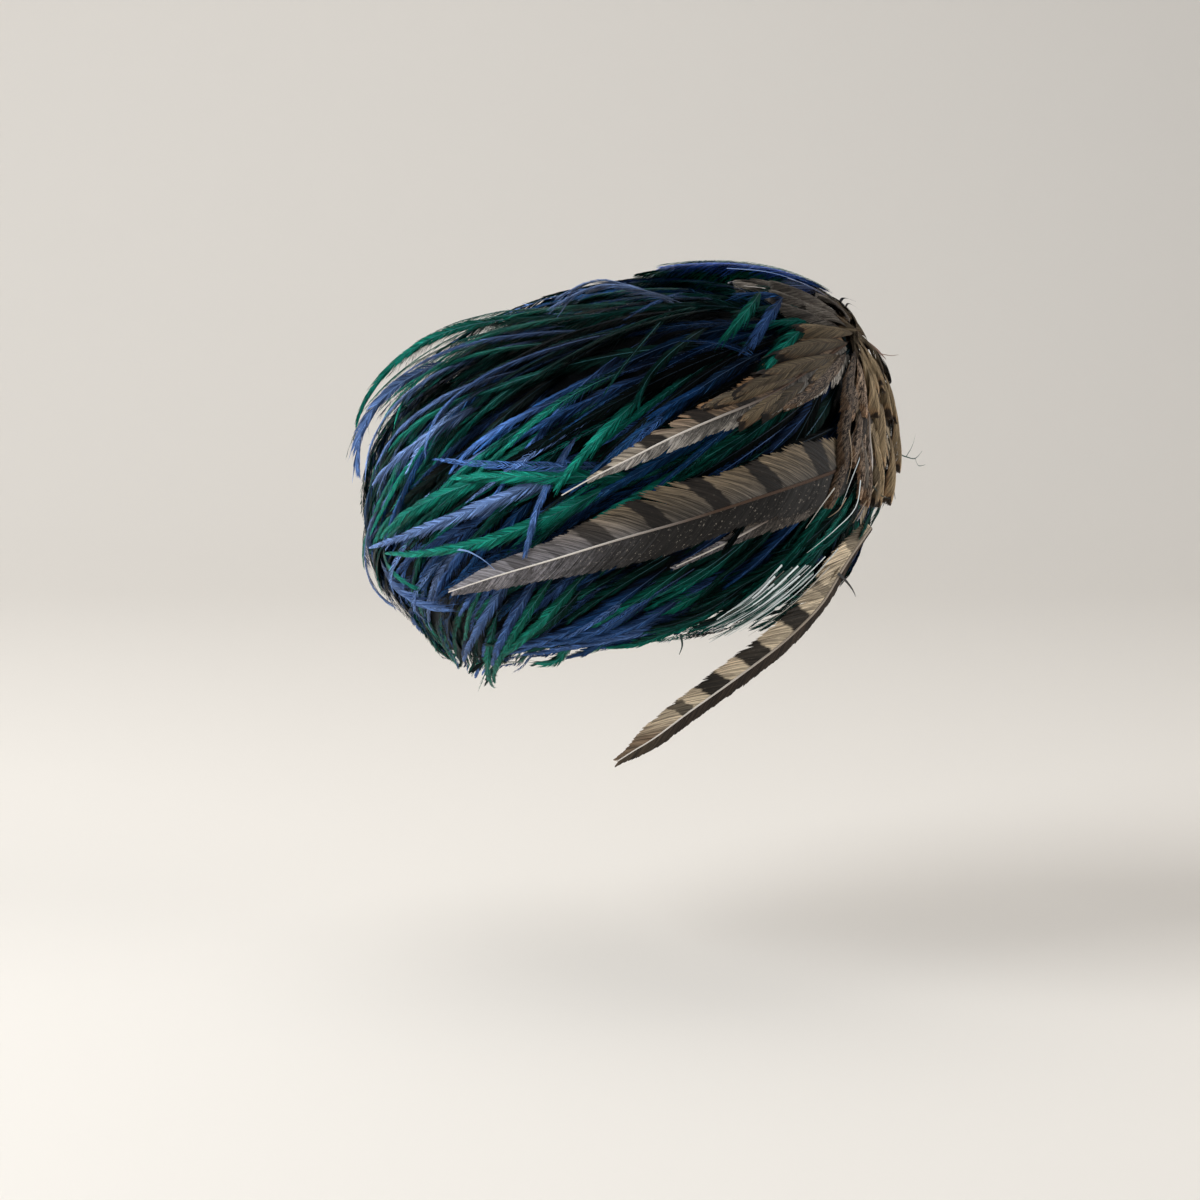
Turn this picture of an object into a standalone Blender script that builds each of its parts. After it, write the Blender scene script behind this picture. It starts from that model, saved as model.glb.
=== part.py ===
"""A feather hat: an open cap under a coat of dyed hackles, with pheasant plumes fanned from its front.

Metres, +Z up, the hat as it is worn. Its front looks along -Y and the wearer's right is -X.
The origin is the centre of the head opening.
"""

import bpy
import bmesh
import math
import random
from mathutils import Matrix, Vector

MM = 0.001

# The cap, in millimetres
RIM_FRONT = 100        # half of the head opening, front to back
WIDE_FRONT = 121       # half sizes at the widest level
WIDE_SIDE = 104
WIDE_UP = 54           # height of the widest level over the rim
TOP_UP = 136           # height of the top over the rim
CROWN_FORWARD = 24     # how far the crown leans forward, which keeps the front full
SHOULDER = 0.86        # under 1 squares the shoulders
WALL = 2.0
CLEAR = 0.3            # gap between pieces that touch

# How the hat sits on the head, in degrees
TILT_BACK = 11
TILT_RIGHT = 6

RIM_DOWN = 180 - math.degrees(math.asin(RIM_FRONT / WIDE_FRONT))
LOW_HEIGHT = WIDE_UP / -math.cos(math.radians(RIM_DOWN))
TOP_HEIGHT = TOP_UP - WIDE_UP
SEGMENTS = 32          # of the sphere that the cap is shaped from
RINGS = 16
RIM_RING = 12          # the ring of the sphere that becomes the rim

# The coat: a backing, and locks of hackle that lie on it
BACKING = 3.0
START_AROUND = -24     # the line down the front that the feathers fan out from, in degrees
START_TOP = 60
START_LOW = 108
PULL_BACK = 0.75       # how strongly the locks are combed back and down, beside away from that line
PULL_DOWN = 0.6
HANG = 1.9             # how much more they hang under the widest level, from the sides to the nape
LOCK_STEP = 33.0       # spacing of the locks along a row
LOCK_ROWS = (          # down in degrees, length, tip lift at the front and at the back, all in mm
    (12, 66, 13, 18),
    (32, 70, 12, 22),
    (52, 74, 10, 21),
    (72, 72, 8, 17),
    (91, 60, 6, 11),
    (109, 36, 4, 7),
)
LONG_LOCKS = (         # around and down of the root in degrees, length, tip lift and half width in mm
    (100, 10, 84, 23, 8),
    (128, 12, 84, 26, 8),
    (150, 18, 80, 27, 8),
    (146, 32, 72, 25, 6),
    (-175, 26, 80, 24, 8),
    (118, 106, 50, 4, 8),
    (136, 104, 50, 4, 8),
    (156, 106, 46, 4, 8),
    (98, 110, 40, 4, 7),
)
LOCK_WIDTH = 16.5      # half width of the others
LOCK_THICK = 4.0
LOCK_BASE = 2.5        # the roots start this high, inside the backing
LOCK_STEPS = 7
LOCK_TURN = 3          # how far a lock strays from its row, in degrees
LOCK_STRAY = 1.5       # and its tip from its lift, in mm
LOCK_SHAPE = (         # share of the length, of the width, and of the tip's lift
    (0.0, 0.45, 0.0),
    (0.3, 1.0, 0.45),
    (0.65, 0.8, 0.8),
    (1.0, 0.06, 1.0),
)

# Plumes that lie on the coat: around and down in degrees, lift in mm, then the widths in mm of the
# right and the left vane, seen from outside along the plume from the knot to its tip
PLUME_UPPER = (
    (-17, 62, 15.0, 5, 3),
    (-9, 63, 15.5, 11, 8),
    (0, 65, 15.5, 12, 13),
    (10, 68, 15.0, 12, 10),
    (20, 71, 15.0, 10, 7),
    (30, 73, 15.0, 8, 6),
    (40, 75.5, 15.5, 6, 5),
    (50, 79, 16.0, 3.5, 3),
    (57, 81.5, 16.5, 1.0, 1.0),
    (63, 84, 17.0, 0.7, 0.7),
)
PLUME_MIDDLE = (
    (-3, 91.5, 12.5, 12, 7),
    (5, 92, 13.0, 17, 12),
    (13, 92.5, 13.0, 19, 13),
    (28, 93.5, 13.5, 16, 10),
    (40, 94.5, 14.0, 19, 12),
    (54, 95.5, 14.5, 13, 12),
    (67, 97, 15.0, 8.5, 8.5),
    (80, 98.5, 15.5, 6, 6),
    (93, 100.5, 16.0, 1.5, 1.5),
)
PLUME_UNDER = (
    (6, 96, 9.5, 4, 5),
    (13, 97, 9.5, 6, 8),
    (20, 98.5, 9.5, 7, 6),
    (32, 102, 9.5, 3, 2),
    (44, 105, 10.0, 0.8, 0.8),
)
PLUME_FRONT = (
    (-19, 66, 15.5, 4, 13),
    (-14, 72, 16.5, 9, 25),
    (-10, 79, 17.0, 11, 27),
    (-7, 87, 17.0, 11, 26),
    (-6, 93, 16.5, 9, 23),
    (-5, 99, 14.0, 5, 15),
    (-4, 104, 11.5, 1.5, 4),
)
PLUME_CROWN = (
    (-22, 57, 13.0, 5, 5),
    (-20, 50, 13.0, 9, 9),
    (-17, 43, 12.5, 9, 9),
    (-12, 37, 12.5, 6, 6),
    (-4, 32, 12.5, 1.0, 1.0),
)
PLUMES_ON_HAT = {
    "plume_upper": PLUME_UPPER,
    "plume_middle": PLUME_MIDDLE,
    "plume_under": PLUME_UNDER,
    "plume_front": PLUME_FRONT,
    "plume_crown": PLUME_CROWN,
}
LOWER_BED = (          # where the lowest plume still lies on the hat
    (-5, 104, 12.0, 6, 3),
    (-2, 111, 12.0, 8, 3),
    (1, 117, 12.0, 7, 4),
)
PLUME_EDGE = 0.9       # thickness at the edge of a vane
PLUME_RIDGE = 1.9      # thickness along the quill

BED_BASE = 2.0         # a bed of hackle runs from here, in the backing, up to each plume
BED_SHARE = 0.6        # its width, as a share of the plume's

# The lowest plume leaves the hat and hangs: around in degrees, then height, distance out and vanes in mm
PLUME_LOWER = (
    (-5, 46, 121, 6, 3),
    (-2, 35, 117.5, 8, 3),
    (1, 24, 114.5, 8, 4),
    (5, 13, 112.5, 8, 3.5),
    (14, -2, 109, 7, 4.5),
    (27, -19, 104, 7, 4.5),
    (39, -34, 100, 6.5, 4),
    (49, -47, 97, 5.5, 3.5),
    (58, -56, 95, 1.5, 1.5),
)

# The glossy tuft on the crown: where each lock starts and ends, its lift there and its half width
TUFT_LOCKS = (
    (-33, 55, 18, -50, 10, 16, 7),
    (-30, 54, 18, -10, 6, 14, 8),
    (-36, 54, 18, -80, 14, 14, 8),
    (-31, 49, 20, 30, 8, 17, 7),
)
TUFT_THICK = 3.0
TUFT_SHAPE = ((0.0, 0.4, 0.0), (0.3, 0.9, 0.3), (0.65, 1.0, 0.65), (1.0, 0.12, 1.0))
TUFT_BED = (
    (-32, 54, 18, 5, 5),
    (-33, 40, 17, 8, 8),
    (-37, 26, 16, 8, 8),
    (-44, 14, 16, 4, 4),
)

WORN = Matrix.Rotation(math.radians(-TILT_RIGHT), 4, "Y") @ Matrix.Rotation(math.radians(-TILT_BACK), 4, "X")
TINY = 0.5             # the step in degrees that the cap's slope is measured over

COLOURS = {            # base colour, roughness
    "felt": ((0.012, 0.016, 0.022), 0.95),
    "hackle": ((0.012, 0.060, 0.075), 0.45),
    "coque": ((0.006, 0.016, 0.034), 0.25),
    "pheasant": ((0.150, 0.110, 0.070), 0.60),
}


def cap_point(around, down):
    """A point of the cap's outside, in mm and untilted; both angles in degrees."""
    a, d = math.radians(around), math.radians(down)
    out, rise = math.sin(d), math.cos(d)
    height, lean = LOW_HEIGHT, 0.0
    if rise > 0:
        out, rise = out ** SHOULDER, rise ** SHOULDER
        height, lean = TOP_HEIGHT, CROWN_FORWARD * rise ** 2
    return Vector((-WIDE_SIDE * out * math.sin(a), -WIDE_FRONT * out * math.cos(a) - lean, WIDE_UP + height * rise))


def cap_normal(around, down):
    down = max(down, 2 * TINY)
    across = cap_point(around + TINY, down) - cap_point(around - TINY, down)
    along = cap_point(around, down + TINY) - cap_point(around, down - TINY)
    return across.cross(along).normalized()


def over_cap(around, down, lift):
    return cap_point(around, down) + cap_normal(around, down) * lift


def spot_under(point):
    """The angles of the cap's spot under a point, which lies on the cap or a little way off it."""
    rise = (point.z - WIDE_UP) / (TOP_HEIGHT if point.z > WIDE_UP else LOW_HEIGHT)
    lean = CROWN_FORWARD * min(rise, 1.0) ** 2 if rise > 0 else 0.0
    side, front = -point.x / WIDE_SIDE, -(point.y + lean) / WIDE_FRONT
    out = math.hypot(side, front)
    power = 1 / SHOULDER if rise > 0 else 1.0
    down = math.degrees(math.atan2(out ** power, math.copysign(abs(rise) ** power, rise)))
    return math.degrees(math.atan2(side, front)), down


def combed(point, normal):
    """The way the feathers lie at a point: away from the front line, and combed back and down."""
    level = min(max(spot_under(point)[1], START_TOP), START_LOW)
    away = (point - over_cap(START_AROUND, level, 0)).normalized()
    low = max(0.0, 1 - point.z / WIDE_UP)
    back = min(1.0, max(0.0, 0.5 + point.y / 150))
    pull = away + Vector((0, PULL_BACK, -PULL_DOWN - HANG * low * back))
    return (pull - normal * pull.dot(normal)).normalized()


def lock_path(around, down, length):
    """Points, normals and headings along a lock that starts at the given spot of the cap."""
    point = over_cap(around, down, 0)
    normal = cap_normal(around, down)
    path = []
    for step in range(LOCK_STEPS + 1):
        heading = combed(point, normal)
        path.append((point, normal, heading))
        onward = point + heading * (length / LOCK_STEPS)
        spot = spot_under(onward)
        if spot[1] > RIM_DOWN:
            point = onward
        else:
            point, normal = over_cap(*spot, 0), cap_normal(*spot)
    return path


def along_path(path, share):
    """Point, normal and heading at a share of the path's length."""
    place = share * (len(path) - 1)
    low = min(int(place), len(path) - 2)
    return tuple(a.lerp(b, place - low) for a, b in zip(path[low], path[low + 1]))


def loft(name, rings, cutters=False):
    """A closed body through rings of points, in mm and untilted; every ring has the same count."""
    bm = bmesh.new()
    rows = [[bm.verts.new(WORN @ (p * MM)) for p in ring] for ring in rings]
    count = len(rings[0])
    for first, second in zip(rows, rows[1:]):
        for i in range(count):
            j = (i + 1) % count
            bm.faces.new((first[i], first[j], second[j], second[i]))
    bm.faces.new(reversed(rows[0]))
    bm.faces.new(rows[-1])
    bm.normal_update()
    if bm.calc_volume(signed=True) < 0:
        bmesh.ops.reverse_faces(bm, faces=bm.faces)
    return mesh_object(name, bm, cutters)


def mesh_object(name, bm, cutters=False):
    mesh = bpy.data.meshes.new(name)
    bm.to_mesh(mesh)
    bm.free()
    made = bpy.data.objects.new(name, mesh)
    collection = bpy.data.collections["cutters" if cutters else "feather_hat"]
    collection.objects.link(made)
    if cutters:
        made.hide_render = True
        made.display_type = "WIRE"
    return made


def material(slot):
    colour, roughness = COLOURS[slot]
    made = bpy.data.materials.get(slot)
    if made is None:
        made = bpy.data.materials.new(slot)
        made.use_nodes = True
        shader = made.node_tree.nodes["Principled BSDF"]
        shader.inputs["Base Color"].default_value = (*colour, 1)
        shader.inputs["Roughness"].default_value = roughness
        shader.inputs["Metallic"].default_value = 0.0
    return made


def finish(made, slot, smooth=40):
    made.data.materials.clear()
    made.data.materials.append(material(slot))
    made.data.shade_smooth()
    made.data.set_sharp_from_angle(angle=math.radians(smooth))


def dome_object(name, lift, cutters=False):
    """A sphere shaped to the cap at a lift over it, open at the rim."""
    bm = bmesh.new()
    bmesh.ops.create_uvsphere(bm, u_segments=SEGMENTS, v_segments=RINGS, radius=1)
    rim_polar = 180 * RIM_RING / RINGS
    below = [v for v in bm.verts if math.degrees(v.co.angle(Vector((0, 0, 1)))) > rim_polar + 1]
    bmesh.ops.delete(bm, geom=below, context="VERTS")
    for vert in bm.verts:
        polar = math.degrees(vert.co.angle(Vector((0, 0, 1))))
        around = math.degrees(math.atan2(-vert.co.x, -vert.co.y))
        vert.co = WORN @ (over_cap(around, polar * RIM_DOWN / rim_polar, lift) * MM)
    bmesh.ops.recalc_face_normals(bm, faces=bm.faces)
    return mesh_object(name, bm, cutters)


def thicken(made, thickness, offset):
    wall = made.modifiers.new("wall", "SOLIDIFY")
    wall.thickness = thickness * MM
    wall.offset = offset
    wall.use_even_offset = True


def make_cap_frame():
    made = dome_object("cap_frame", 0)
    thicken(made, WALL, -1)
    finish(made, "felt")


def make_lock(name, path, half_width, thick, lifts, shape):
    """A leaf-shaped lock along a path; lifts are those of its root and its tip."""
    rings = []
    for share, width, rise in shape:
        point, normal, heading = along_path(path, share)
        centre = point + normal * (lifts[0] + (lifts[1] - lifts[0]) * rise)
        side = heading.cross(normal).normalized() * half_width * width
        deep = normal * thick * max(width, 0.35)
        rings.append([centre - side - deep * 0.4, centre + deep * 0.6, centre + side - deep * 0.4])
    return loft(name, rings, cutters=True)


def make_bed(name, rows):
    """The hackle that carries a plume: a ridge from the backing into the plume's clearance."""
    centres = [over_cap(around, down, BED_BASE) for around, down, lift, right, left in rows]
    rings = []
    for i, (around, down, lift, right, left) in enumerate(rows):
        heading = (centres[min(i + 1, len(rows) - 1)] - centres[max(i - 1, 0)]).normalized()
        side = heading.cross(cap_normal(around, down)).normalized()
        first = hug(centres[i] + side * right * BED_SHARE, BED_BASE)
        last = hug(centres[i] - side * left * BED_SHARE, BED_BASE)
        rings.append([first, over_cap(around, down, lift), last])
    return loft(name, rings, cutters=True)


def make_coat():
    """The backing and its locks, joined, then cleared of the plumes that lie in it."""
    rng = random.Random(3)
    locks = bpy.data.collections.new("locks")
    for row, (down, length, lift_front, lift_back) in enumerate(LOCK_ROWS):
        out = over_cap(90, down, 0).x ** 2 + over_cap(0, down, 0).y ** 2
        count = max(6, round(math.tau * math.sqrt(out / 2) / LOCK_STEP))
        for i in range(count):
            around = 360 * (i + 0.5 * (row % 2)) / count + rng.uniform(-LOCK_TURN, LOCK_TURN)
            level = down + rng.uniform(-LOCK_TURN, LOCK_TURN)
            back = 0.5 - 0.5 * math.cos(math.radians(around))
            lift = lift_front + (lift_back - lift_front) * back + rng.uniform(-LOCK_STRAY, LOCK_STRAY)
            path = lock_path(around, level, length * rng.uniform(0.9, 1.15))
            width = LOCK_WIDTH * rng.uniform(0.85, 1.1)
            lifts = (LOCK_BASE, lift)
            locks.objects.link(make_lock(f"lock_{row}_{i}", path, width, LOCK_THICK, lifts, LOCK_SHAPE))
    for i, (around, down, length, lift, width) in enumerate(LONG_LOCKS):
        path = lock_path(around, down, length)
        locks.objects.link(make_lock(f"long_lock_{i}", path, width, LOCK_THICK, (LOCK_BASE, lift), LOCK_SHAPE))
    for name, rows in (*PLUMES_ON_HAT.items(), ("crown_tuft", TUFT_BED), ("plume_lower", LOWER_BED)):
        locks.objects.link(make_bed(name + "_bed", rows))
    coat = dome_object("hackle_coat", CLEAR)
    thicken(coat, BACKING, 1)
    join = coat.modifiers.new("join_locks", "BOOLEAN")
    join.operation = "UNION"
    join.operand_type = "COLLECTION"
    join.collection = locks
    join.solver = "MANIFOLD"
    clear = coat.modifiers.new("clear_plumes", "BOOLEAN")
    clear.operation = "DIFFERENCE"
    clear.operand_type = "COLLECTION"
    clear.collection = bpy.data.collections["clearance"]
    clear.solver = "MANIFOLD"
    keep_whole(coat)
    finish(coat, "hackle")


def keep_whole(made):
    """Applies the modifiers and keeps the largest body, without the scraps that a cut leaves."""
    depsgraph = bpy.context.evaluated_depsgraph_get()
    mesh = bpy.data.meshes.new_from_object(made.evaluated_get(depsgraph))
    made.modifiers.clear()
    bm = bmesh.new()
    bm.from_mesh(mesh)
    bmesh.ops.triangulate(bm, faces=bm.faces)
    left = set(bm.faces)
    bodies = []
    while left:
        body, open_faces = [], [left.pop()]
        while open_faces:
            face = open_faces.pop()
            body.append(face)
            near = {f for e in face.edges if len(e.link_faces) == 2 for f in e.link_faces} & left
            left -= near
            open_faces.extend(near)
        bodies.append(body)
    bodies.sort(key=len)
    scraps = [face for body in bodies[:-1] for face in body]
    bmesh.ops.delete(bm, geom=scraps, context="FACES")
    bm.to_mesh(made.data)
    bm.free()
    print(made.name, "kept", len(bodies[-1]), "faces and lost", len(scraps), "in", len(bodies) - 1, "scraps")


def vane_ring(centre, normal, side, right, left, grow):
    """Six points round a vane: its two edges, and the ridge over and under the quill."""
    edge = normal * (PLUME_EDGE / 2 + grow)
    ridge = normal * (PLUME_RIDGE / 2 + grow)
    first, last = centre + side * (right + grow), centre - side * (left + grow)
    return [first + edge, centre + ridge, last + edge, last - edge, centre - ridge, first - edge]


def hug(point, lift):
    return over_cap(*spot_under(point), lift)


def plume_on_hat(name, rows, grow=0.0):
    """A plume that hugs the cap's curve; grow makes the clearance that it cuts in the coat."""
    centres = [over_cap(around, down, lift) for around, down, lift, right, left in rows]
    half = PLUME_EDGE / 2 + grow
    rings = []
    for i, (around, down, lift, right, left) in enumerate(rows):
        heading = (centres[min(i + 1, len(rows) - 1)] - centres[max(i - 1, 0)]).normalized()
        normal = cap_normal(around, down)
        side = heading.cross(normal).normalized()
        ring = vane_ring(centres[i], normal, side, right, left, grow)
        for corner, rise in ((0, half), (2, half), (3, -half), (5, -half)):
            ring[corner] = hug(ring[corner], lift + rise)
        rings.append(ring)
    return loft(name, lengthen(rings, grow), cutters=grow > 0)


def hanging_plume(name, rows, grow=0.0):
    """The plume that leaves the hat; its rows are in the worn frame."""
    upright = WORN.inverted()
    centres, outs = [], []
    for around, height, out, right, left in rows:
        a = math.radians(around)
        facing = Vector((-math.sin(a), -math.cos(a), 0))
        centres.append(upright @ (facing * out + Vector((0, 0, height))))
        outs.append(upright.to_3x3() @ facing)
    rings = []
    for i, (around, height, out, right, left) in enumerate(rows):
        heading = (centres[min(i + 1, len(rows) - 1)] - centres[max(i - 1, 0)]).normalized()
        side = heading.cross(outs[i]).normalized()
        rings.append(vane_ring(centres[i], side.cross(heading), side, right, left, grow))
    return loft(name, lengthen(rings, grow), cutters=grow > 0)


def lengthen(rings, grow):
    """Moves the end rings outward, so that a clearance is as long as its plume and the gap."""
    if grow:
        for end, next_in in ((rings[0], rings[1]), (rings[-1], rings[-2])):
            shift = (sum(end, Vector()) - sum(next_in, Vector())).normalized() * grow
            end[:] = [p + shift for p in end]
    return rings


def make_plumes():
    clearance = bpy.data.collections.new("clearance")
    for name, rows in PLUMES_ON_HAT.items():
        finish(plume_on_hat(name, rows), "pheasant")
        clearance.objects.link(plume_on_hat(name + "_clearance", rows, CLEAR))
    finish(hanging_plume("plume_lower", PLUME_LOWER), "pheasant")
    clearance.objects.link(hanging_plume("plume_lower_clearance", PLUME_LOWER, CLEAR))


def tuft_path(start, end):
    path = []
    first, last = over_cap(*start, 0), over_cap(*end, 0)
    for step in range(LOCK_STEPS + 1):
        spot = spot_under(first.lerp(last, step / LOCK_STEPS))
        path.append([over_cap(*spot, 0), cap_normal(*spot), last - first])
    return path


def tuft_body(name, grow):
    """The tuft's locks joined in one; a little fatter where it serves as a clearance."""
    bodies = []
    for i, (a0, d0, lift0, a1, d1, lift1, width) in enumerate(TUFT_LOCKS):
        path = tuft_path((a0, d0), (a1, d1))
        bodies.append(make_lock(f"{name}_{i}", path, width + grow, TUFT_THICK + grow, (lift0, lift1), TUFT_SHAPE))
    locks = bpy.data.collections.new(name + "_locks")
    for body in bodies[1:]:
        locks.objects.link(body)
    whole = bodies[0]
    join = whole.modifiers.new("join_locks", "BOOLEAN")
    join.operation = "UNION"
    join.operand_type = "COLLECTION"
    join.collection = locks
    join.solver = "MANIFOLD"
    keep_whole(whole)
    whole.name = name
    return whole


def make_tuft():
    tuft = tuft_body("crown_tuft", 0.0)
    bpy.data.collections["cutters"].objects.unlink(tuft)
    bpy.data.collections["feather_hat"].objects.link(tuft)
    tuft.hide_render = False
    tuft.display_type = "TEXTURED"
    finish(tuft, "coque")
    bpy.data.collections["clearance"].objects.link(tuft_body("crown_tuft_clearance", CLEAR))


def main():
    for old in list(bpy.data.objects):
        bpy.data.objects.remove(old)
    for name in ("feather_hat", "cutters"):
        bpy.context.scene.collection.children.link(bpy.data.collections.new(name))
    make_cap_frame()
    make_plumes()
    make_tuft()
    make_coat()


main()
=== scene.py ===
import math
import random

import bpy
import numpy as np
from mathutils import Matrix, Vector


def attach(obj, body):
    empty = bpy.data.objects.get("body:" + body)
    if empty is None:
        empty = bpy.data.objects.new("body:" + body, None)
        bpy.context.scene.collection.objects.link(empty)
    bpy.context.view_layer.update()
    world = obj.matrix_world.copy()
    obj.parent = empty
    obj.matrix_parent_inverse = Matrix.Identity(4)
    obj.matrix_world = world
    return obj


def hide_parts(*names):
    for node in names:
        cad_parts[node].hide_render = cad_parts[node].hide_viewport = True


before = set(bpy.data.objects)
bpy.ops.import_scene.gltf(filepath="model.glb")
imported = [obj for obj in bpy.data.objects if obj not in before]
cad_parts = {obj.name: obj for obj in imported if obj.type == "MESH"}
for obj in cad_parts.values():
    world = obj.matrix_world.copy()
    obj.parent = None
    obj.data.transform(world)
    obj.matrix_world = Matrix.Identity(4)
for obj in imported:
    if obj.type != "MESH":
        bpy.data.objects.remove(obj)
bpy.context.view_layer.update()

print("stage 1: the shape of the cap")

cap = {                       # the felt cap under the feathers, in mm and degrees, as in the source
    "wideFront": 121.0,
    "wideSide": 104.0,
    "wideUp": 54.0,
    "topUp": 136.0,
    "rimFront": 100.0,
    "crownForward": 24.0,
    "shoulder": 0.86,
    "tiltBack": 11.0,
    "tiltRight": 6.0,
}
combing = {                   # the line down the front that feathers fan out from, and how they are pulled
    "around": -24.0,
    "top": 60.0,
    "low": 108.0,
    "back": 0.75,
    "down": 0.6,
    "hang": 1.9,
    "hangOver": 150.0,        # mm from front to back over which that grows
    "inmost": 0.80,           # of the widest girth: nothing turns further in below the rim
    "easing": 0.6,            # how much of a feather's own turn is gone at its tip
    "napeFrom": 20.0,         # mm behind the middle, where feathers begin to hang past the rim
    "napeOver": 60.0,
    "napeSlide": 20.0,        # how many times further they may hang there
}
rimDown = 180 - math.degrees(math.asin(cap["rimFront"] / cap["wideFront"]))
lowHeight = cap["wideUp"] / -math.cos(math.radians(rimDown))
topHeight = cap["topUp"] - cap["wideUp"]
worn = np.array(
    (Matrix.Rotation(math.radians(-cap["tiltRight"]), 3, "Y")
     @ Matrix.Rotation(math.radians(-cap["tiltBack"]), 3, "X"))
)


def unit(vectors):
    return vectors / np.maximum(np.linalg.norm(vectors, axis=-1, keepdims=True), 1e-9)


def dot(first, second):
    return (first * second).sum(-1, keepdims=True)


def capPoint(around, down):   # on the cap's outside; around is 0 in front and grows to the wearer's right
    a, d = np.radians(around), np.radians(down)
    out, rise = np.sin(d), np.cos(d)
    over = np.clip(rise, 0, 1) ** cap["shoulder"]
    out = np.where(rise > 0, np.abs(out) ** cap["shoulder"], out)
    height = np.where(rise > 0, topHeight * over, lowHeight * rise)
    x = -cap["wideSide"] * out * np.sin(a)
    y = -cap["wideFront"] * out * np.cos(a) - cap["crownForward"] * over ** 2
    return np.stack((x, y, cap["wideUp"] + height), -1)


def capNormal(around, down):
    down = np.maximum(down, 1.0)
    across = capPoint(around + 0.5, down) - capPoint(around - 0.5, down)
    along = capPoint(around, down + 0.5) - capPoint(around, down - 0.5)
    return unit(np.cross(across, along))


def overCap(around, down, lift):
    return capPoint(around, down) + capNormal(around, down) * np.asarray(lift)[..., None]


def spotUnder(points):        # the angles of the cap's spot under points near it
    z = points[..., 2] - cap["wideUp"]
    rise = np.where(z > 0, z / topHeight, z / lowHeight)
    lean = np.where(rise > 0, cap["crownForward"] * np.clip(rise, 0, 1) ** 2, 0)
    side, front = -points[..., 0] / cap["wideSide"], -(points[..., 1] + lean) / cap["wideFront"]
    out = np.hypot(side, front)
    power = np.where(rise > 0, 1 / cap["shoulder"], 1.0)
    down = np.degrees(np.arctan2(out ** power, np.copysign(np.abs(rise) ** power, rise)))
    return np.degrees(np.arctan2(side, front)), down


def combed(points, normals):  # the way the feathers lie
    level = np.clip(spotUnder(points)[1], combing["top"], combing["low"])
    away = unit(points - overCap(np.full_like(level, combing["around"]), level, np.zeros_like(level)))
    low = np.clip(1 - points[..., 2] / cap["wideUp"], 0, None)
    rear = np.clip(0.5 + points[..., 1] / combing["hangOver"], 0, 1)
    pull = away.copy()
    pull[..., 1] += combing["back"]
    pull[..., 2] -= combing["down"] + combing["hang"] * low * rear
    return unit(pull - normals * dot(pull, normals))


def combPaths(around, down, length, steps, turn, slide):    # points and normals along the feathers
    ground = np.zeros_like(around)
    point, normal = overCap(around, down, ground), capNormal(around, down)
    points, normals = [point], [normal]
    for step in range(steps):
        heading = combed(point, normal)
        bias = turn * (1 - combing["easing"] * step / steps)
        heading = heading * np.cos(bias)[:, None] + np.cross(normal, heading) * np.sin(bias)[:, None]
        onward = point + heading * (length / steps)[:, None]
        a, d = spotUnder(onward)
        nape = np.clip((onward[:, 1] - combing["napeFrom"]) / combing["napeOver"], 0, 1)
        stop = rimDown + slide * (1 + combing["napeSlide"] * nape)
        d = np.minimum(d, np.maximum(stop, spotUnder(point)[1]))
        past = (d > rimDown)[:, None]
        held = (nape < 0.05)[:, None] & past          # away from the nape they run along the rim
        onward = np.where(held, overCap(a, np.minimum(d, stop), ground), onward)
        girth = np.hypot(onward[:, 0] / cap["wideSide"], onward[:, 1] / cap["wideFront"])
        onward[:, :2] *= np.maximum(combing["inmost"] / np.maximum(girth, 0.1), 1)[:, None] ** past
        point = np.where(past, onward, overCap(a, d, ground))
        normal = np.where(past, normal, capNormal(a, d))
        points.append(point)
        normals.append(normal)
    return np.stack(points, 1), np.stack(normals, 1)


def placed(name, data):       # a new object in the scene
    made = bpy.data.objects.new(name, data)
    bpy.context.scene.collection.objects.link(made)
    return made


class Strips:                 # many thin strips that become one mesh
    def __init__(self):
        self.spots, self.faces, self.marks, self.strands, self.count = [], [], [], [], 0

    def add(self, line, across, half, marks, strand):       # strips along lines, so wide to each side
        side = across * half[..., None]
        self.addEdges(line - side, line + side, marks, strand)

    def addEdges(self, first, last, marks, strand):         # marks and strand are what the materials read
        shape = first.shape[:2]
        both = np.stack((first, last), 2).reshape(-1, 3)
        place = np.arange(len(both)).reshape(*shape, 2) + self.count
        quads = np.stack((place[:, :-1, 0], place[:, :-1, 1], place[:, 1:, 1], place[:, 1:, 0]), -1)
        self.spots.append(both)
        self.faces.append(quads.reshape(-1, 4))
        for kept, values in ((self.marks, marks), (self.strands, strand)):
            table = np.stack([np.broadcast_to(value, shape) for value in values], -1)
            kept.append(np.repeat(table.reshape(-1, len(values)), 2, 0))
        self.strands[-1][0::2, 0] *= -1
        self.count += len(both)

    def piece(self, name, slotName, material, replaced=()):
        spots = np.concatenate(self.spots) @ worn.T * 0.001
        faces = np.concatenate(self.faces)
        mesh = bpy.data.meshes.new(name)
        mesh.vertices.add(len(spots))
        mesh.vertices.foreach_set("co", spots.astype(np.float32).ravel())
        mesh.loops.add(faces.size)
        mesh.loops.foreach_set("vertex_index", faces.astype(np.int32).ravel())
        mesh.polygons.add(len(faces))
        mesh.polygons.foreach_set("loop_start", np.arange(0, faces.size, 4, dtype=np.int32))
        mesh.update(calc_edges=True)
        mesh.shade_smooth()
        for key, kind, field, values in (("feather", "FLOAT_COLOR", "color", self.marks),
                                         ("strand", "FLOAT_VECTOR", "vector", self.strands)):
            attribute = mesh.attributes.new(key, kind, "POINT")
            attribute.data.foreach_set(field, np.concatenate(values).astype(np.float32).ravel())
        mesh.materials.append(material)
        made = placed(name, mesh)
        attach(made, "root")
        if replaced:
            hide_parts(*replaced)
        print(name, len(faces) * 2, "triangles")


print("stage 2: materials")


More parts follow.
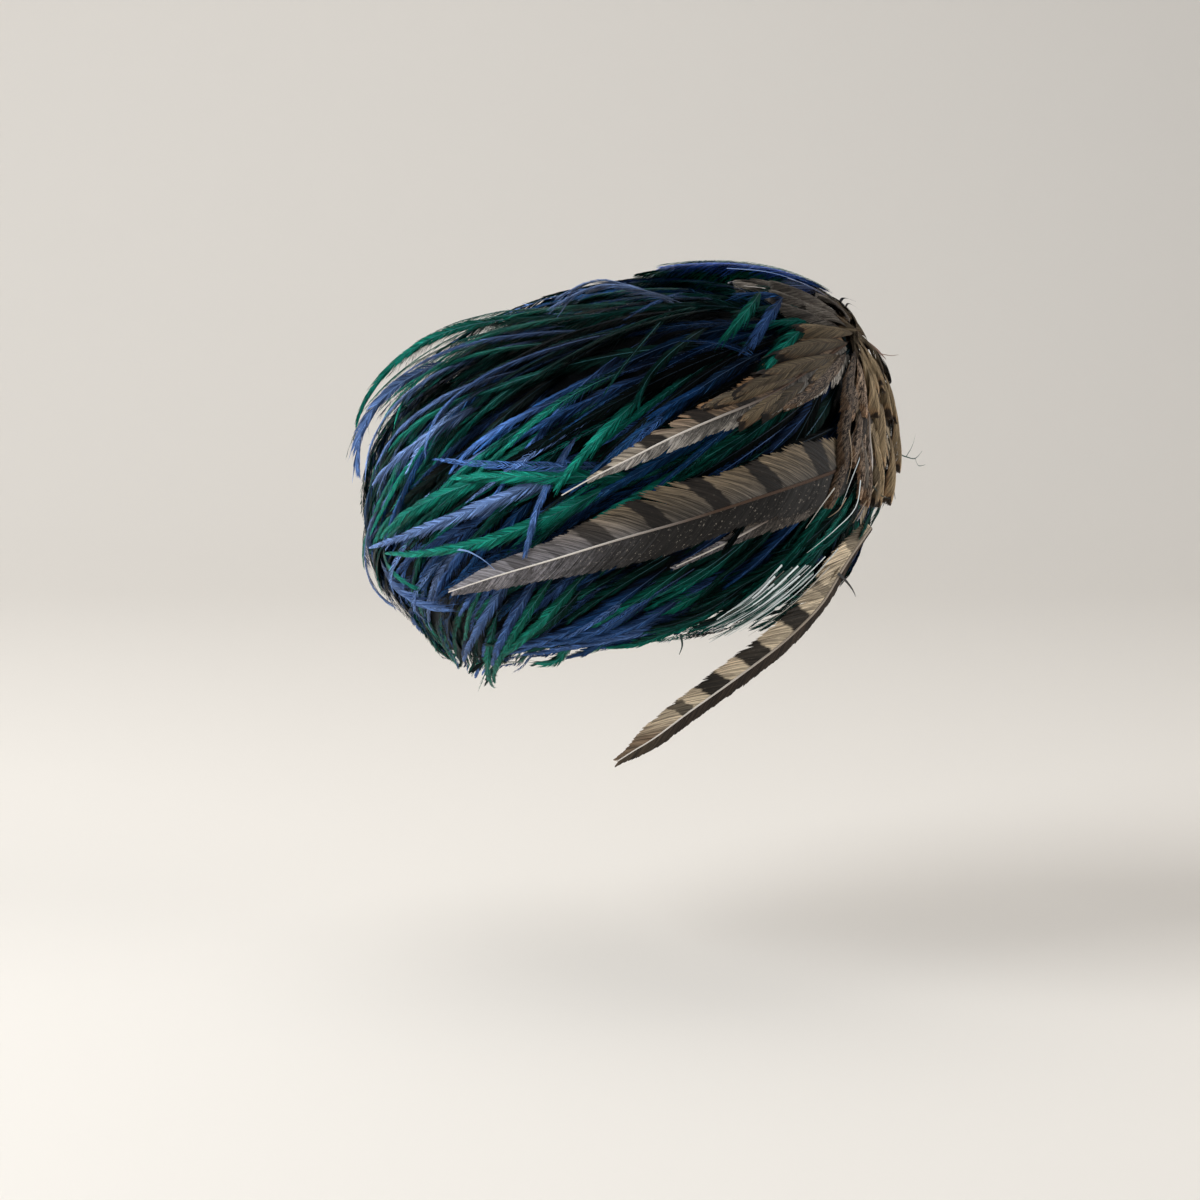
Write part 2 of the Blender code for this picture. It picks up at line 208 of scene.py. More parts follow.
class Wire:                   # a socket that takes part in sums
    def __init__(self, tree, socket=None):
        self.tree, self.socket = tree, socket

    def add(self, kind, settings, values, out=0):
        made = self.tree.nodes.new(kind)
        for key, value in settings.items():
            if key == "stops":
                elements = made.color_ramp.elements
                elements[0].position, elements[1].position = value[0][0], value[-1][0]
                for place, colour in value[1:-1]:
                    elements.new(place)
                for element, (place, colour) in zip(elements, value):
                    element.color = (*colour, 1)
            else:
                setattr(made, key, value)
        for key, value in values.items():
            if isinstance(value, Wire):
                self.tree.links.new(value.socket, made.inputs[key])
            else:
                made.inputs[key].default_value = value
        return Wire(self.tree, made.outputs[out])

    def other(self, name):
        return Wire(self.tree, self.socket.node.outputs[name])

    def sum(self, operation, first, second=0.0):
        return self.add("ShaderNodeMath", {"operation": operation}, {0: first, 1: second})

    def __add__(self, other):
        return self.sum("ADD", self, other)

    def __sub__(self, other):
        return self.sum("SUBTRACT", self, other)

    def __rsub__(self, other):
        return self.sum("SUBTRACT", other, self)

    def __mul__(self, other):
        return self.sum("MULTIPLY", self, other)

    def __gt__(self, other):
        return self.sum("GREATER_THAN", self, other)

    def __lt__(self, other):
        return self.sum("LESS_THAN", self, other)

    def fit(self, low, high, first=0.0, last=1.0):    # maps low..high to first..last, smoothly
        return self.add("ShaderNodeMapRange", {"interpolation_type": "SMOOTHSTEP"},
                        {"Value": self, "From Min": low, "From Max": high, "To Min": first, "To Max": last})

    def mixed(self, first, last):                     # two colours, by this share
        first, last = [colour if isinstance(colour, Wire) else (*colour, 1) for colour in (first, last)]
        return self.add("ShaderNodeMix", {"data_type": "RGBA"}, {0: self, 6: first, 7: last}, 2)

    def lit(self, light):                             # this colour times a light
        grey = self.add("ShaderNodeCombineColor", {}, {0: light, 1: light, 2: light})
        return self.add("ShaderNodeMix", {"data_type": "RGBA", "blend_type": "MULTIPLY"},
                        {0: 1.0, 6: self, 7: grey}, 2)

    def ramp(self, stops):
        return self.add("ShaderNodeValToRGB", {"stops": stops}, {0: self})

    def noise(self, scale, detail=2.0, roughness=0.5):
        return self.add("ShaderNodeTexNoise", {}, {"Vector": self, "Scale": scale, "Detail": detail,
                                                   "Roughness": roughness})

    def grain(self, factors, detail=2.0, roughness=0.5, shift=0.0):     # noise, finer in some directions
        spread = self.add("ShaderNodeVectorMath", {"operation": "MULTIPLY_ADD"},
                          {0: self, 1: factors, 2: (shift, 0, 0)})
        return spread.noise(1.0, detail, roughness)


def newMaterial(name, fixed):                         # returns it, its first wire and its shader
    made = bpy.data.materials.new(name)
    made.use_nodes = True
    shader = made.node_tree.nodes["Principled BSDF"]
    for key, value in fixed.items():
        shader.inputs[key].default_value = value
    return made, Wire(made.node_tree), shader


def plug(wire, shader, key):
    wire.tree.links.new(wire.socket, shader.inputs[key])


def featherMarks(start):      # along the quill, out on the barb, tint or side, shade; last the place in mm
    colour = start.add("ShaderNodeAttribute", {"attribute_name": "feather"}, {}, "Color")
    parts = colour.add("ShaderNodeSeparateColor", {}, {"Color": colour}, "Red")
    strand = start.add("ShaderNodeAttribute", {"attribute_name": "strand"}, {}, "Vector")
    return parts, parts.other("Green"), parts.other("Blue"), colour.other("Alpha"), strand


quillMark = -0.2              # how far out on the barb a quill says it is, so the materials know it
ridges = {                    # between the barbs, for all feathers
    "grain": (3.0, 0.12, 1.7),
    "depth": 0.0003,
}


def isQuill(out):
    return out < quillMark / 4


def dressFeather(shader, strand, streak, body, look):      # colour, gloss and the ridges between the barbs
    plug(body, shader, "Base Color")
    plug(streak.fit(0.2, 0.8, *look["rough"]), shader, "Roughness")
    if "metal" in look:
        plug(streak.fit(0.3, 0.7, *look["metal"]), shader, "Metallic")
    bump = strand.add("ShaderNodeBump", {}, {"Strength": look["bump"], "Distance": ridges["depth"],
                                             "Height": strand.grain(ridges["grain"])})
    plug(bump, shader, "Normal")


hackleLook = {                # dyed hackle: emerald or blue blades with painted shade at the roots, a soft silky gloss
    "tints": [
        (0.00, (0.0006, 0.0030, 0.0050)),
        (0.14, (0.0006, 0.0190, 0.0150)),
        (0.30, (0.0010, 0.0820, 0.0640)),
        (0.46, (0.0060, 0.1900, 0.1350)),
        (0.53, (0.0010, 0.0150, 0.0330)),
        (0.70, (0.0080, 0.0480, 0.1550)),
        (0.86, (0.0400, 0.0990, 0.2750)),
        (1.00, (0.1500, 0.2350, 0.4500)),
    ],
    "specular": 0.06,
    "streak": ((2.2, 0.05, 0.9), 3.0, 0.6),       # along the barbs: scales, detail, roughness
    "streakLight": (0.30, 0.66, 0.30, 1.40),      # from, to, and the light at each
    "clump": ((0.1, 0.03, 0.30), 2.0, 0.5, 5.0),  # broader; the last number shifts it
    "clumpLight": (0.32, 0.62, 0.70, 1.15),
    "clumpTint": 0.12,        # how far it moves the tint
    "rachis": (0.14, 0.20, 0.30),
    "rachisShare": 0.3,
    "glint": (0.22, 0.46, 0.66),  # painted highlight: the pale colour of barbs that seem to catch the light
    "glintFrom": (0.60, 0.72),
    "glintShare": 0.32,
    # painted shade: the light at the root, where the feathers overlap, against the rest
    "paintedRootShade": 0.25,
    "rootTo": 0.55,           # how far along the painted root shade reaches
    "hair": ((3.4, 0.02, 2.3), 2.0, 0.5, 9.0),
    "airy": 0.34,             # how much the barbs part into hairs towards their tips
    "rough": (0.36, 0.58),
    "metal": (0.35, 0.65),
    "bump": 0.5,
}


def hackleMaterial():
    made, start, shader = newMaterial("dyed hackle", {"Specular IOR Level": hackleLook["specular"]})
    along, out, tint, shade, strand = featherMarks(start)
    streak, clump = strand.grain(*hackleLook["streak"]), strand.grain(*hackleLook["clump"])
    colour = (tint + (clump - 0.5) * hackleLook["clumpTint"]).ramp(hackleLook["tints"])
    # painted shade at the roots, times the shade mark, which carries the coat zones' painted light and shade,
    # and random streaks
    light = (along.fit(0.0, hackleLook["rootTo"], hackleLook["paintedRootShade"], 1.0) * (shade * 1.5 + 0.05)
             * streak.fit(*hackleLook["streakLight"]) * clump.fit(*hackleLook["clumpLight"]))
    # painted highlight: some barbs mixed towards the pale glint colour
    glint = streak.fit(*hackleLook["glintFrom"]) * shade * hackleLook["glintShare"]
    body = glint.mixed(colour.lit(light), hackleLook["glint"])
    body = (isQuill(out) * shade * hackleLook["rachisShare"]).mixed(body, hackleLook["rachis"])
    dressFeather(shader, strand, streak, body, hackleLook)
    plug(strand.grain(*hackleLook["hair"]) > out * hackleLook["airy"] + 0.25, shader, "Alpha")
    return made


coqueLook = {                 # glossy crown tuft, near black with green and blue
    "tints": [
        (0.0, (0.0010, 0.0030, 0.0060)),
        (0.3, (0.0030, 0.1300, 0.0750)),
        (0.6, (0.0080, 0.0450, 0.2000)),
        (0.8, (0.0800, 0.1500, 0.4600)),
        # partly pale periwinkle barbs, partly a painted highlight
        (1.0, (0.4200, 0.5000, 0.7600)),
    ],
    "specular": 0.6,
    "streak": ((2.2, 0.05, 0.9), 3.0, 0.6),
    "streakTint": 0.3,
    "rough": (0.22, 0.42),
    "metal": (0.4, 0.8),
    "bump": 0.4,
}


def coqueMaterial():
    made, start, shader = newMaterial("glossy tuft", {"Specular IOR Level": coqueLook["specular"]})
    tint, shade, strand = featherMarks(start)[2:]
    streak = strand.grain(*coqueLook["streak"])
    colour = (tint + (streak - 0.5) * coqueLook["streakTint"]).ramp(coqueLook["tints"])
    dressFeather(shader, strand, streak, colour.lit((shade * 1.5 + 0.6) * (streak + 0.5)), coqueLook)
    return made


def vaneMaterial(name, look):  # a pheasant plume: ground, bars, mottling, flecks and quill
    made, start, shader = newMaterial(name, {"Specular IOR Level": look["specular"]})
    along, out, side, shade, strand = featherMarks(start)
    across = start.add("ShaderNodeSeparateXYZ", {}, {"Vector": strand}, "X")
    streak, blotch = strand.grain(*look["streak"]), strand.grain(*look["blotch"])
    tip = along.fit(*look["tipFrom"])
    vanes = [tip.mixed(out.mixed(look[half + "Inner"], look[half + "Outer"]), look[half + "Tip"])
             for half in ("right", "left")]
    place = across.other("Z") + across.other("Y") * look["barLean"] + (blotch - 0.5) * look["wander"]
    for centre, half, *dark in look["bars"]:          # bars run along the barbs
        off = place - centre
        bar = 1 - off.sum("ABSOLUTE", off).fit(half * 0.75, half)
        vanes = [(bar * share).mixed(vane, look["bar"]) for vane, share in zip(vanes, dark)]
    isLeft = side > 0.5
    body = isLeft.mixed(*vanes)
    for kind in ("fleck", "mottle"):
        patch = strand.grain(*look[kind + "Grain"]).fit(*look[kind + "From"])
        share = isLeft * (look[kind + "Left"] - look[kind + "Right"]) + look[kind + "Right"]
        body = (patch * share).mixed(body, look[kind])
    body = body.lit((shade * 0.8 + 0.6) * streak.fit(*look["streakLight"]))
    shaft = along.fit(*look["shaftFrom"]).mixed(look["shaftRoot"], look["shaftTip"])
    dressFeather(shader, strand, streak, isQuill(out).mixed(body, shaft), look)
    return made


feltLook = {
    "dark": (0.003, 0.005, 0.007),
    "pale": (0.010, 0.014, 0.018),
    "fibre": (900.0, 4.0, 0.7),       # its noise: scale, detail, roughness
    "cloud": (60.0, 2.0),
    "rough": (0.85, 1.0),
    "depth": 0.0006,
}


def feltMaterial():
    made, start, shader = newMaterial("dark felt", {"Specular IOR Level": 0.15, "Sheen Weight": 0.05})
    place = start.add("ShaderNodeTexCoord", {}, {}, "Object")
    fibre = place.noise(*feltLook["fibre"])
    share = fibre * 0.6 + place.noise(*feltLook["cloud"]) * 0.4
    plug(share.fit(0.3, 0.7).mixed(feltLook["dark"], feltLook["pale"]), shader, "Base Color")
    plug(fibre.fit(0.3, 0.7, *feltLook["rough"]), shader, "Roughness")
    bump = start.add("ShaderNodeBump", {}, {"Strength": 0.6, "Distance": feltLook["depth"], "Height": fibre})
    plug(bump, shader, "Normal")
    return made


print("stage 3: hackles")

oneTurn = 6.3                 # radians, about a full turn
leastLift = 1.5               # mm: no hackle lies nearer to the cap
noiseStep = {                 # how far apart the noise of neighbouring feathers lies
    "rule": 17.3,
    "parting": 19.1,
    "chosen": 13.7,
    "tuft": 31.7,
    "cover": 37.1,
    "knot": 23.1,
}


def frames(points, normals):  # headings, sides and true normals along paths
    headings = np.empty_like(points)
    headings[:, 1:-1] = points[:, 2:] - points[:, :-2]
    headings[:, 0] = points[:, 1] - points[:, 0]
    headings[:, -1] = points[:, -1] - points[:, -2]
    headings = unit(headings)
    sides = unit(np.cross(headings, normals))
    return headings, sides, np.cross(sides, headings)


def frameOf(track, normals):  # the same for one path
    return [part[0] for part in frames(track[None], normals[None])]


def sample(track, places):    # rows of a track (stops, 3) at fractional places
    low = np.clip(places.astype(int), 0, len(track) - 2)
    share = (places - low)[:, None]
    return track[low] * (1 - share) + track[low + 1] * share


def drawn(draw, count, *limits):      # so many random numbers
    return np.array([draw(*limits) for _ in range(count)])


def turnFrom(middle, around):         # degrees, the short way round
    return (around - middle + 180) % 360 - 180


def nearness(zone, around, down):     # 1 in a zone's middle, less away from it
    a, d, wide, high = zone[:4]
    return np.exp(-((around - a) / wide) ** 2 - ((down - d) / high) ** 2)


hackles = {                   # the coat of dyed hackles
    "seed": 11,
    "pieces": 5,              # meshes they are shared out to
    "rows": (4, 12, 20, 28, 36, 44, 52, 60, 68, 76, 84, 92, 99, 105, 110, 114, 118, 121),
    "spacing": 12.0,
    "length": ((0, 132), (55, 132), (92, 84), (106, 63), (121, 50.4)),     # mm, by degrees down of the root
    "uneven": (0.75, 1.12),   # shortest and longest against that
    "width": (3.4, 7.4),      # half widths
    "fullWidth": 75,          # mm long; shorter ones are narrower too
    "steps": 24,
    "loose": 0.26,            # share of them with loose, airy barbs
    "rimSlide": (0.5, 6.0),   # degrees past the rim where the tips turn and run along it
    "frontShort": (8, 30),    # degrees shorter behind the hanging plume, and how wide round
    "stray": 0.15,
    "fringe": (2, 14),        # how far those at the nape hang past the rim
    "nape": (0.2, 1.6),       # which ones count as those at the nape
    "perDegree": 1.95,        # mm from one degree down to the next there
    "tip": (0.45, 1.0),       # share of the coat's lift that a tip gets
    "bow": (-1, 2.0),         # mm higher midway
    "aside": 0.05,            # how far tips stray aside, against the length
    "roll": 0.28,
}
knotHackles = {               # those that start under the tuft and the plumes' knot, and fill up to them
    "count": 120,
    "around": (-62, 16),
    "down": (14, 84),
    "lift": (5, 13),
}
partingHackles = {            # short ones laid along the parting down the front, where the coat's rows stop
    "count": 135,
    "line": -24,              # degrees round, where the parting runs
    "clear": (15, 98),        # the rows stop this near it, from this far down
    "around": (-66, 4),
    "down": (64, 106),
    "spread": 0.42,           # how far the tips turn away from it
    "aside": (-5, 5),
    "length": (26, 46),       # degrees down
    "nearFar": (4, 18),       # degrees from the parting
    "rim": (122, 129),        # how low the tips may come there
    "lift": (4, 7),           # mm at the root and midway
    "tipLift": (2, 5),
    "width": (3.2, 6.0),
    "roll": 0.25,
}


def featherBlade(strips, rng, points, normals, length, look):      # barbs to both sides, and a quill
    headings, sides, normals = frameOf(points, normals)
    cosine, sine = math.cos(look["roll"]), math.sin(look["roll"])
    sides, normals = sides * cosine + normals * sine, normals * cosine - sides * sine
    stops, outs = len(points), np.array(look["stops"])
    count = max(12, int(length * (1 - look["bare"]) / look["step"]))
    share = look["bare"] + (look["last"] - look["bare"]) * (np.arange(count) + 0.5) / count
    phase = rng.uniform(0, oneTurn)
    for sign in (1, -1):
        spot = np.clip(share + drawn(rng.uniform, count, -0.4, 0.4) / count, 0, 0.99)
        place = spot * (stops - 1)
        root, ahead = sample(points, place), unit(sample(headings, place))
        beside, up = unit(sample(sides, place)) * sign, unit(sample(normals, place))
        profile = np.minimum(1, spot / look["swell"]) ** 0.6 * np.clip(1 - spot ** look["point"], 0, 1) ** 0.7
        angle = look["angle"][0] + (look["angle"][1] - look["angle"][0]) * spot
        angle = angle + look["wave"] * np.sin(spot * look["clumps"] * oneTurn + phase + sign)
        angle = angle + drawn(rng.gauss, count, 0, look["stray"])
        reach = look["width"] * profile / np.sin(np.maximum(angle, 0.15))
        reach = np.minimum(reach, length * (look["past"] - spot)) * drawn(rng.uniform, count, *look["uneven"])
        bend = angle[:, None] * (1 - look["sweep"] * outs)
        forward, lateral = np.cos(bend), np.sin(bend)
        run = reach[:, None] * outs
        drop = look["cup"] * run ** 2 / 20 - drawn(rng.uniform, count, 0, look["fray"])[:, None] * outs ** 2
        line = (root[:, None] + ahead[:, None] * (run * forward)[..., None]
                + beside[:, None] * (run * lateral)[..., None] - up[:, None] * drop[..., None])
        course = ahead[:, None] * forward[..., None] + beside[:, None] * lateral[..., None]
        tilt = look["shingle"] + drawn(rng.gauss, count, 0, look["ruffle"])
        flat = np.cross(course, np.broadcast_to(up[:, None], course.shape)) * sign
        across = flat * np.cos(tilt)[:, None, None] + up[:, None] * np.sin(tilt)[:, None, None]
        half = look["barb"] * np.array(look["taper"]) * np.minimum(1, reach / 4)[:, None] / 2
        tint = look["tint"] + drawn(rng.gauss, count, 0, look["tintStray"])
        shade = look["shade"] + drawn(rng.gauss, count, 0, look["stripe"])
        # painted light and shade of the barb's place on the coat
        if look["zoned"]:
            shade = shade * zoneLight(*spotUnder(root))
        marks = (spot[:, None], outs, tint[:, None], np.clip(shade, 0, 1)[:, None])
        strand = (half + 0.001, run, (spot * length + sign * 300 + look["seed"])[:, None])
        strips.add(line, across, half, marks, strand)
    quill = np.linspace(0, 0.97, 14)
    place = quill * (stops - 1)
    line = sample(points, place) + unit(sample(normals, place)) * look["quillRise"]
    half = look["quill"] * (1 - 0.8 * quill) / 2
    marks = (quill, quillMark, look["tint"], look["shade"])
    strips.add(line[None], unit(sample(sides, place))[None], half[None], marks, (0.0, quill * length, 0.0))


hackleForm = {
    "bare": 0.03,             # share of the quill before the first barb
    "swell": 0.14,            # where along it the blade is wide
    "point": 1.8,             # how late it narrows again
    "angle": (0.46, 0.16),    # of the barbs to the quill, in radians, at root and tip
    "clumps": 4,
    "wave": 0.10,             # how far the clumps turn together
    "last": 0.985,            # where the last barb starts
    "past": 1.04,             # how far the barbs may reach, against the length
    "stray": 0.03,
    "sweep": 0.35,            # how far the barbs bend back towards the quill
    "cup": 0.45,              # how far their ends drop
    "fray": 0.5,              # mm that single ends rise
    "shingle": 0.08,          # tilt of a barb in radians, and how much it differs
    "ruffle": 0.09,
    "barb": 0.85,             # its width in mm
    "stops": (0.0, 0.5, 1.0),     # points along it, and its width there
    "taper": (0.9, 0.95, 0.05),
    "quill": 0.4,             # mm wide
    "quillRise": 0.1,
    "step": 1.25,             # mm from barb to barb
    "uneven": (0.80, 1.10),   # shortest and longest barb against the outline
    "zoned": True,            # takes the painted light and shade of its place on the coat into its colour
    "stripe": 0.14,           # how much neighbouring barbs differ in brightness
    "tintStray": 0.012,
}
looseForm = dict(hackleForm, angle=(0.85, 0.40), barb=0.42, stray=0.14, fray=2.2, sweep=0.8, ruffle=0.4,
                 step=1.3, stops=(0.0, 0.35, 0.7, 1.0), taper=(0.9, 1.0, 0.7, 0.05))
coat = {                      # tip lift over the cap in mm, in front and behind, by how far down the tip lies
    "down": (0, 30, 47, 70, 90, 108, 120, 130),
    "front": (14, 13, 13, 12, 10, 8, 6, 4),
    "back": (17, 17, 18, 17, 13, 9, 5, 3),
}


def tipLift(around, down):
    back = 0.5 - 0.5 * np.cos(np.radians(around))
    front, rear = [np.interp(down, coat["down"], coat[part]) for part in ("front", "back")]
    return front * (1 - back) + rear * back


dents = (                     # around, down, how wide, how high, how many mm lower the hackles lie there
    (120, 113, 20, 10, 5.0),
    (122, 78, 18, 13, 3.0),
    (-34, 113, 22, 13, 4.5),
)


def dentAt(around, down):
    return sum(dent[4] * nearness((0, *dent[1:]), turnFrom(dent[0], around), down) for dent in dents)


lightZones = (                # around, down, how wide, how high, and the painted light there against the rest: below 1 painted shadow, above 1 painted light
    (58, 41, 42, 15, 0.06),
    (38, 103, 34, 10, 0.10),
    (6, 79, 14, 12, 0.20),
    (36, 55, 22, 9, 0.15),
    (114, 78, 16, 14, 1.45),
    (100, 72, 40, 28, 1.22),
    (22, 84, 16, 7, 0.30),
    (88, 50, 20, 9, 0.50),
    (106, 96, 22, 10, 1.30),
    (66, 114, 14, 6, 1.25),
)
dyeZones = (                  # around, down, how wide, how high, more blue or less
    (105, 62, 16, 10, 0.35),
    (106, 96, 22, 9, 0.50),
    (82, 91, 14, 5, 0.40),
    (50, 66, 14, 8, 0.35),
    (64, 114, 18, 6, 0.50),
    (45, 46, 14, 8, 0.30),
    (103, 83, 14, 6, -0.45),
    (76, 74, 20, 8, -0.30),
    (66, 83, 14, 7, -0.40),
    (85, 28, 40, 9, -0.40),
    (10, 108, 26, 10, -0.45),
    (25, 76, 16, 8, -0.40),
)


# painted light and shade over the coat, by place, which scales the hackles' colour
def zoneLight(around, down):
    light = 1.0
    for zone in lightZones:
        light = light * (1 + (zone[4] - 1) * nearness(zone, around, down))
    return light


dye = {
    "blue": 0.42,             # share of blue ones outside the zones
    "dark": 0.10,             # share of near black ones
    "greens": (0.15, 0.31),   # darkest, and how much further the brightest is, on hackleLook's scale
    "blues": (0.57, 0.40),
    "shade": (0.25, 0.9),
}


def tintAt(rng, around, down):    # green or blue, and how bright, by where on the hat its middle lies
    share = dye["blue"]
    for zone in dyeZones:
        share += zone[4] * nearness(zone, around, down)
    blue = rng.random() < share
    # how bright it is also follows the painted light and shade of the zones
    bright = rng.random() ** 0.9 * min(1, 0.3 + 0.7 * float(zoneLight(around, down)))
    if rng.random() < dye["dark"]:
        return 0.02 + 0.1 * rng.random(), dye["shade"][0]
    first, more = dye["blues"] if blue else dye["greens"]
    return first + more * bright, rng.uniform(*dye["shade"])


def hackleRoots(rng):
    roots = []
    for row, down in enumerate(hackles["rows"]):
        ring = overCap(np.linspace(0, 360, 73), np.full(73, float(down)), np.zeros(73))
        girth = np.linalg.norm(np.diff(ring, axis=0), axis=1).sum()
        count = max(5, round(girth / hackles["spacing"]))
        for i in range(count):
            around = 360 * (i + 0.5 * (row % 2)) / count + rng.uniform(-4, 4)
            aside = abs(turnFrom(partingHackles["line"], around))
            if aside > partingHackles["clear"][0] or down < partingHackles["clear"][1]:
                roots.append((around, down + rng.uniform(-3.5, 3.5), rng.uniform(2.6, 4.0)))
    for i in range(knotHackles["count"]):
        roots.append([rng.uniform(*knotHackles[key]) for key in ("around", "down", "lift")])
    return roots


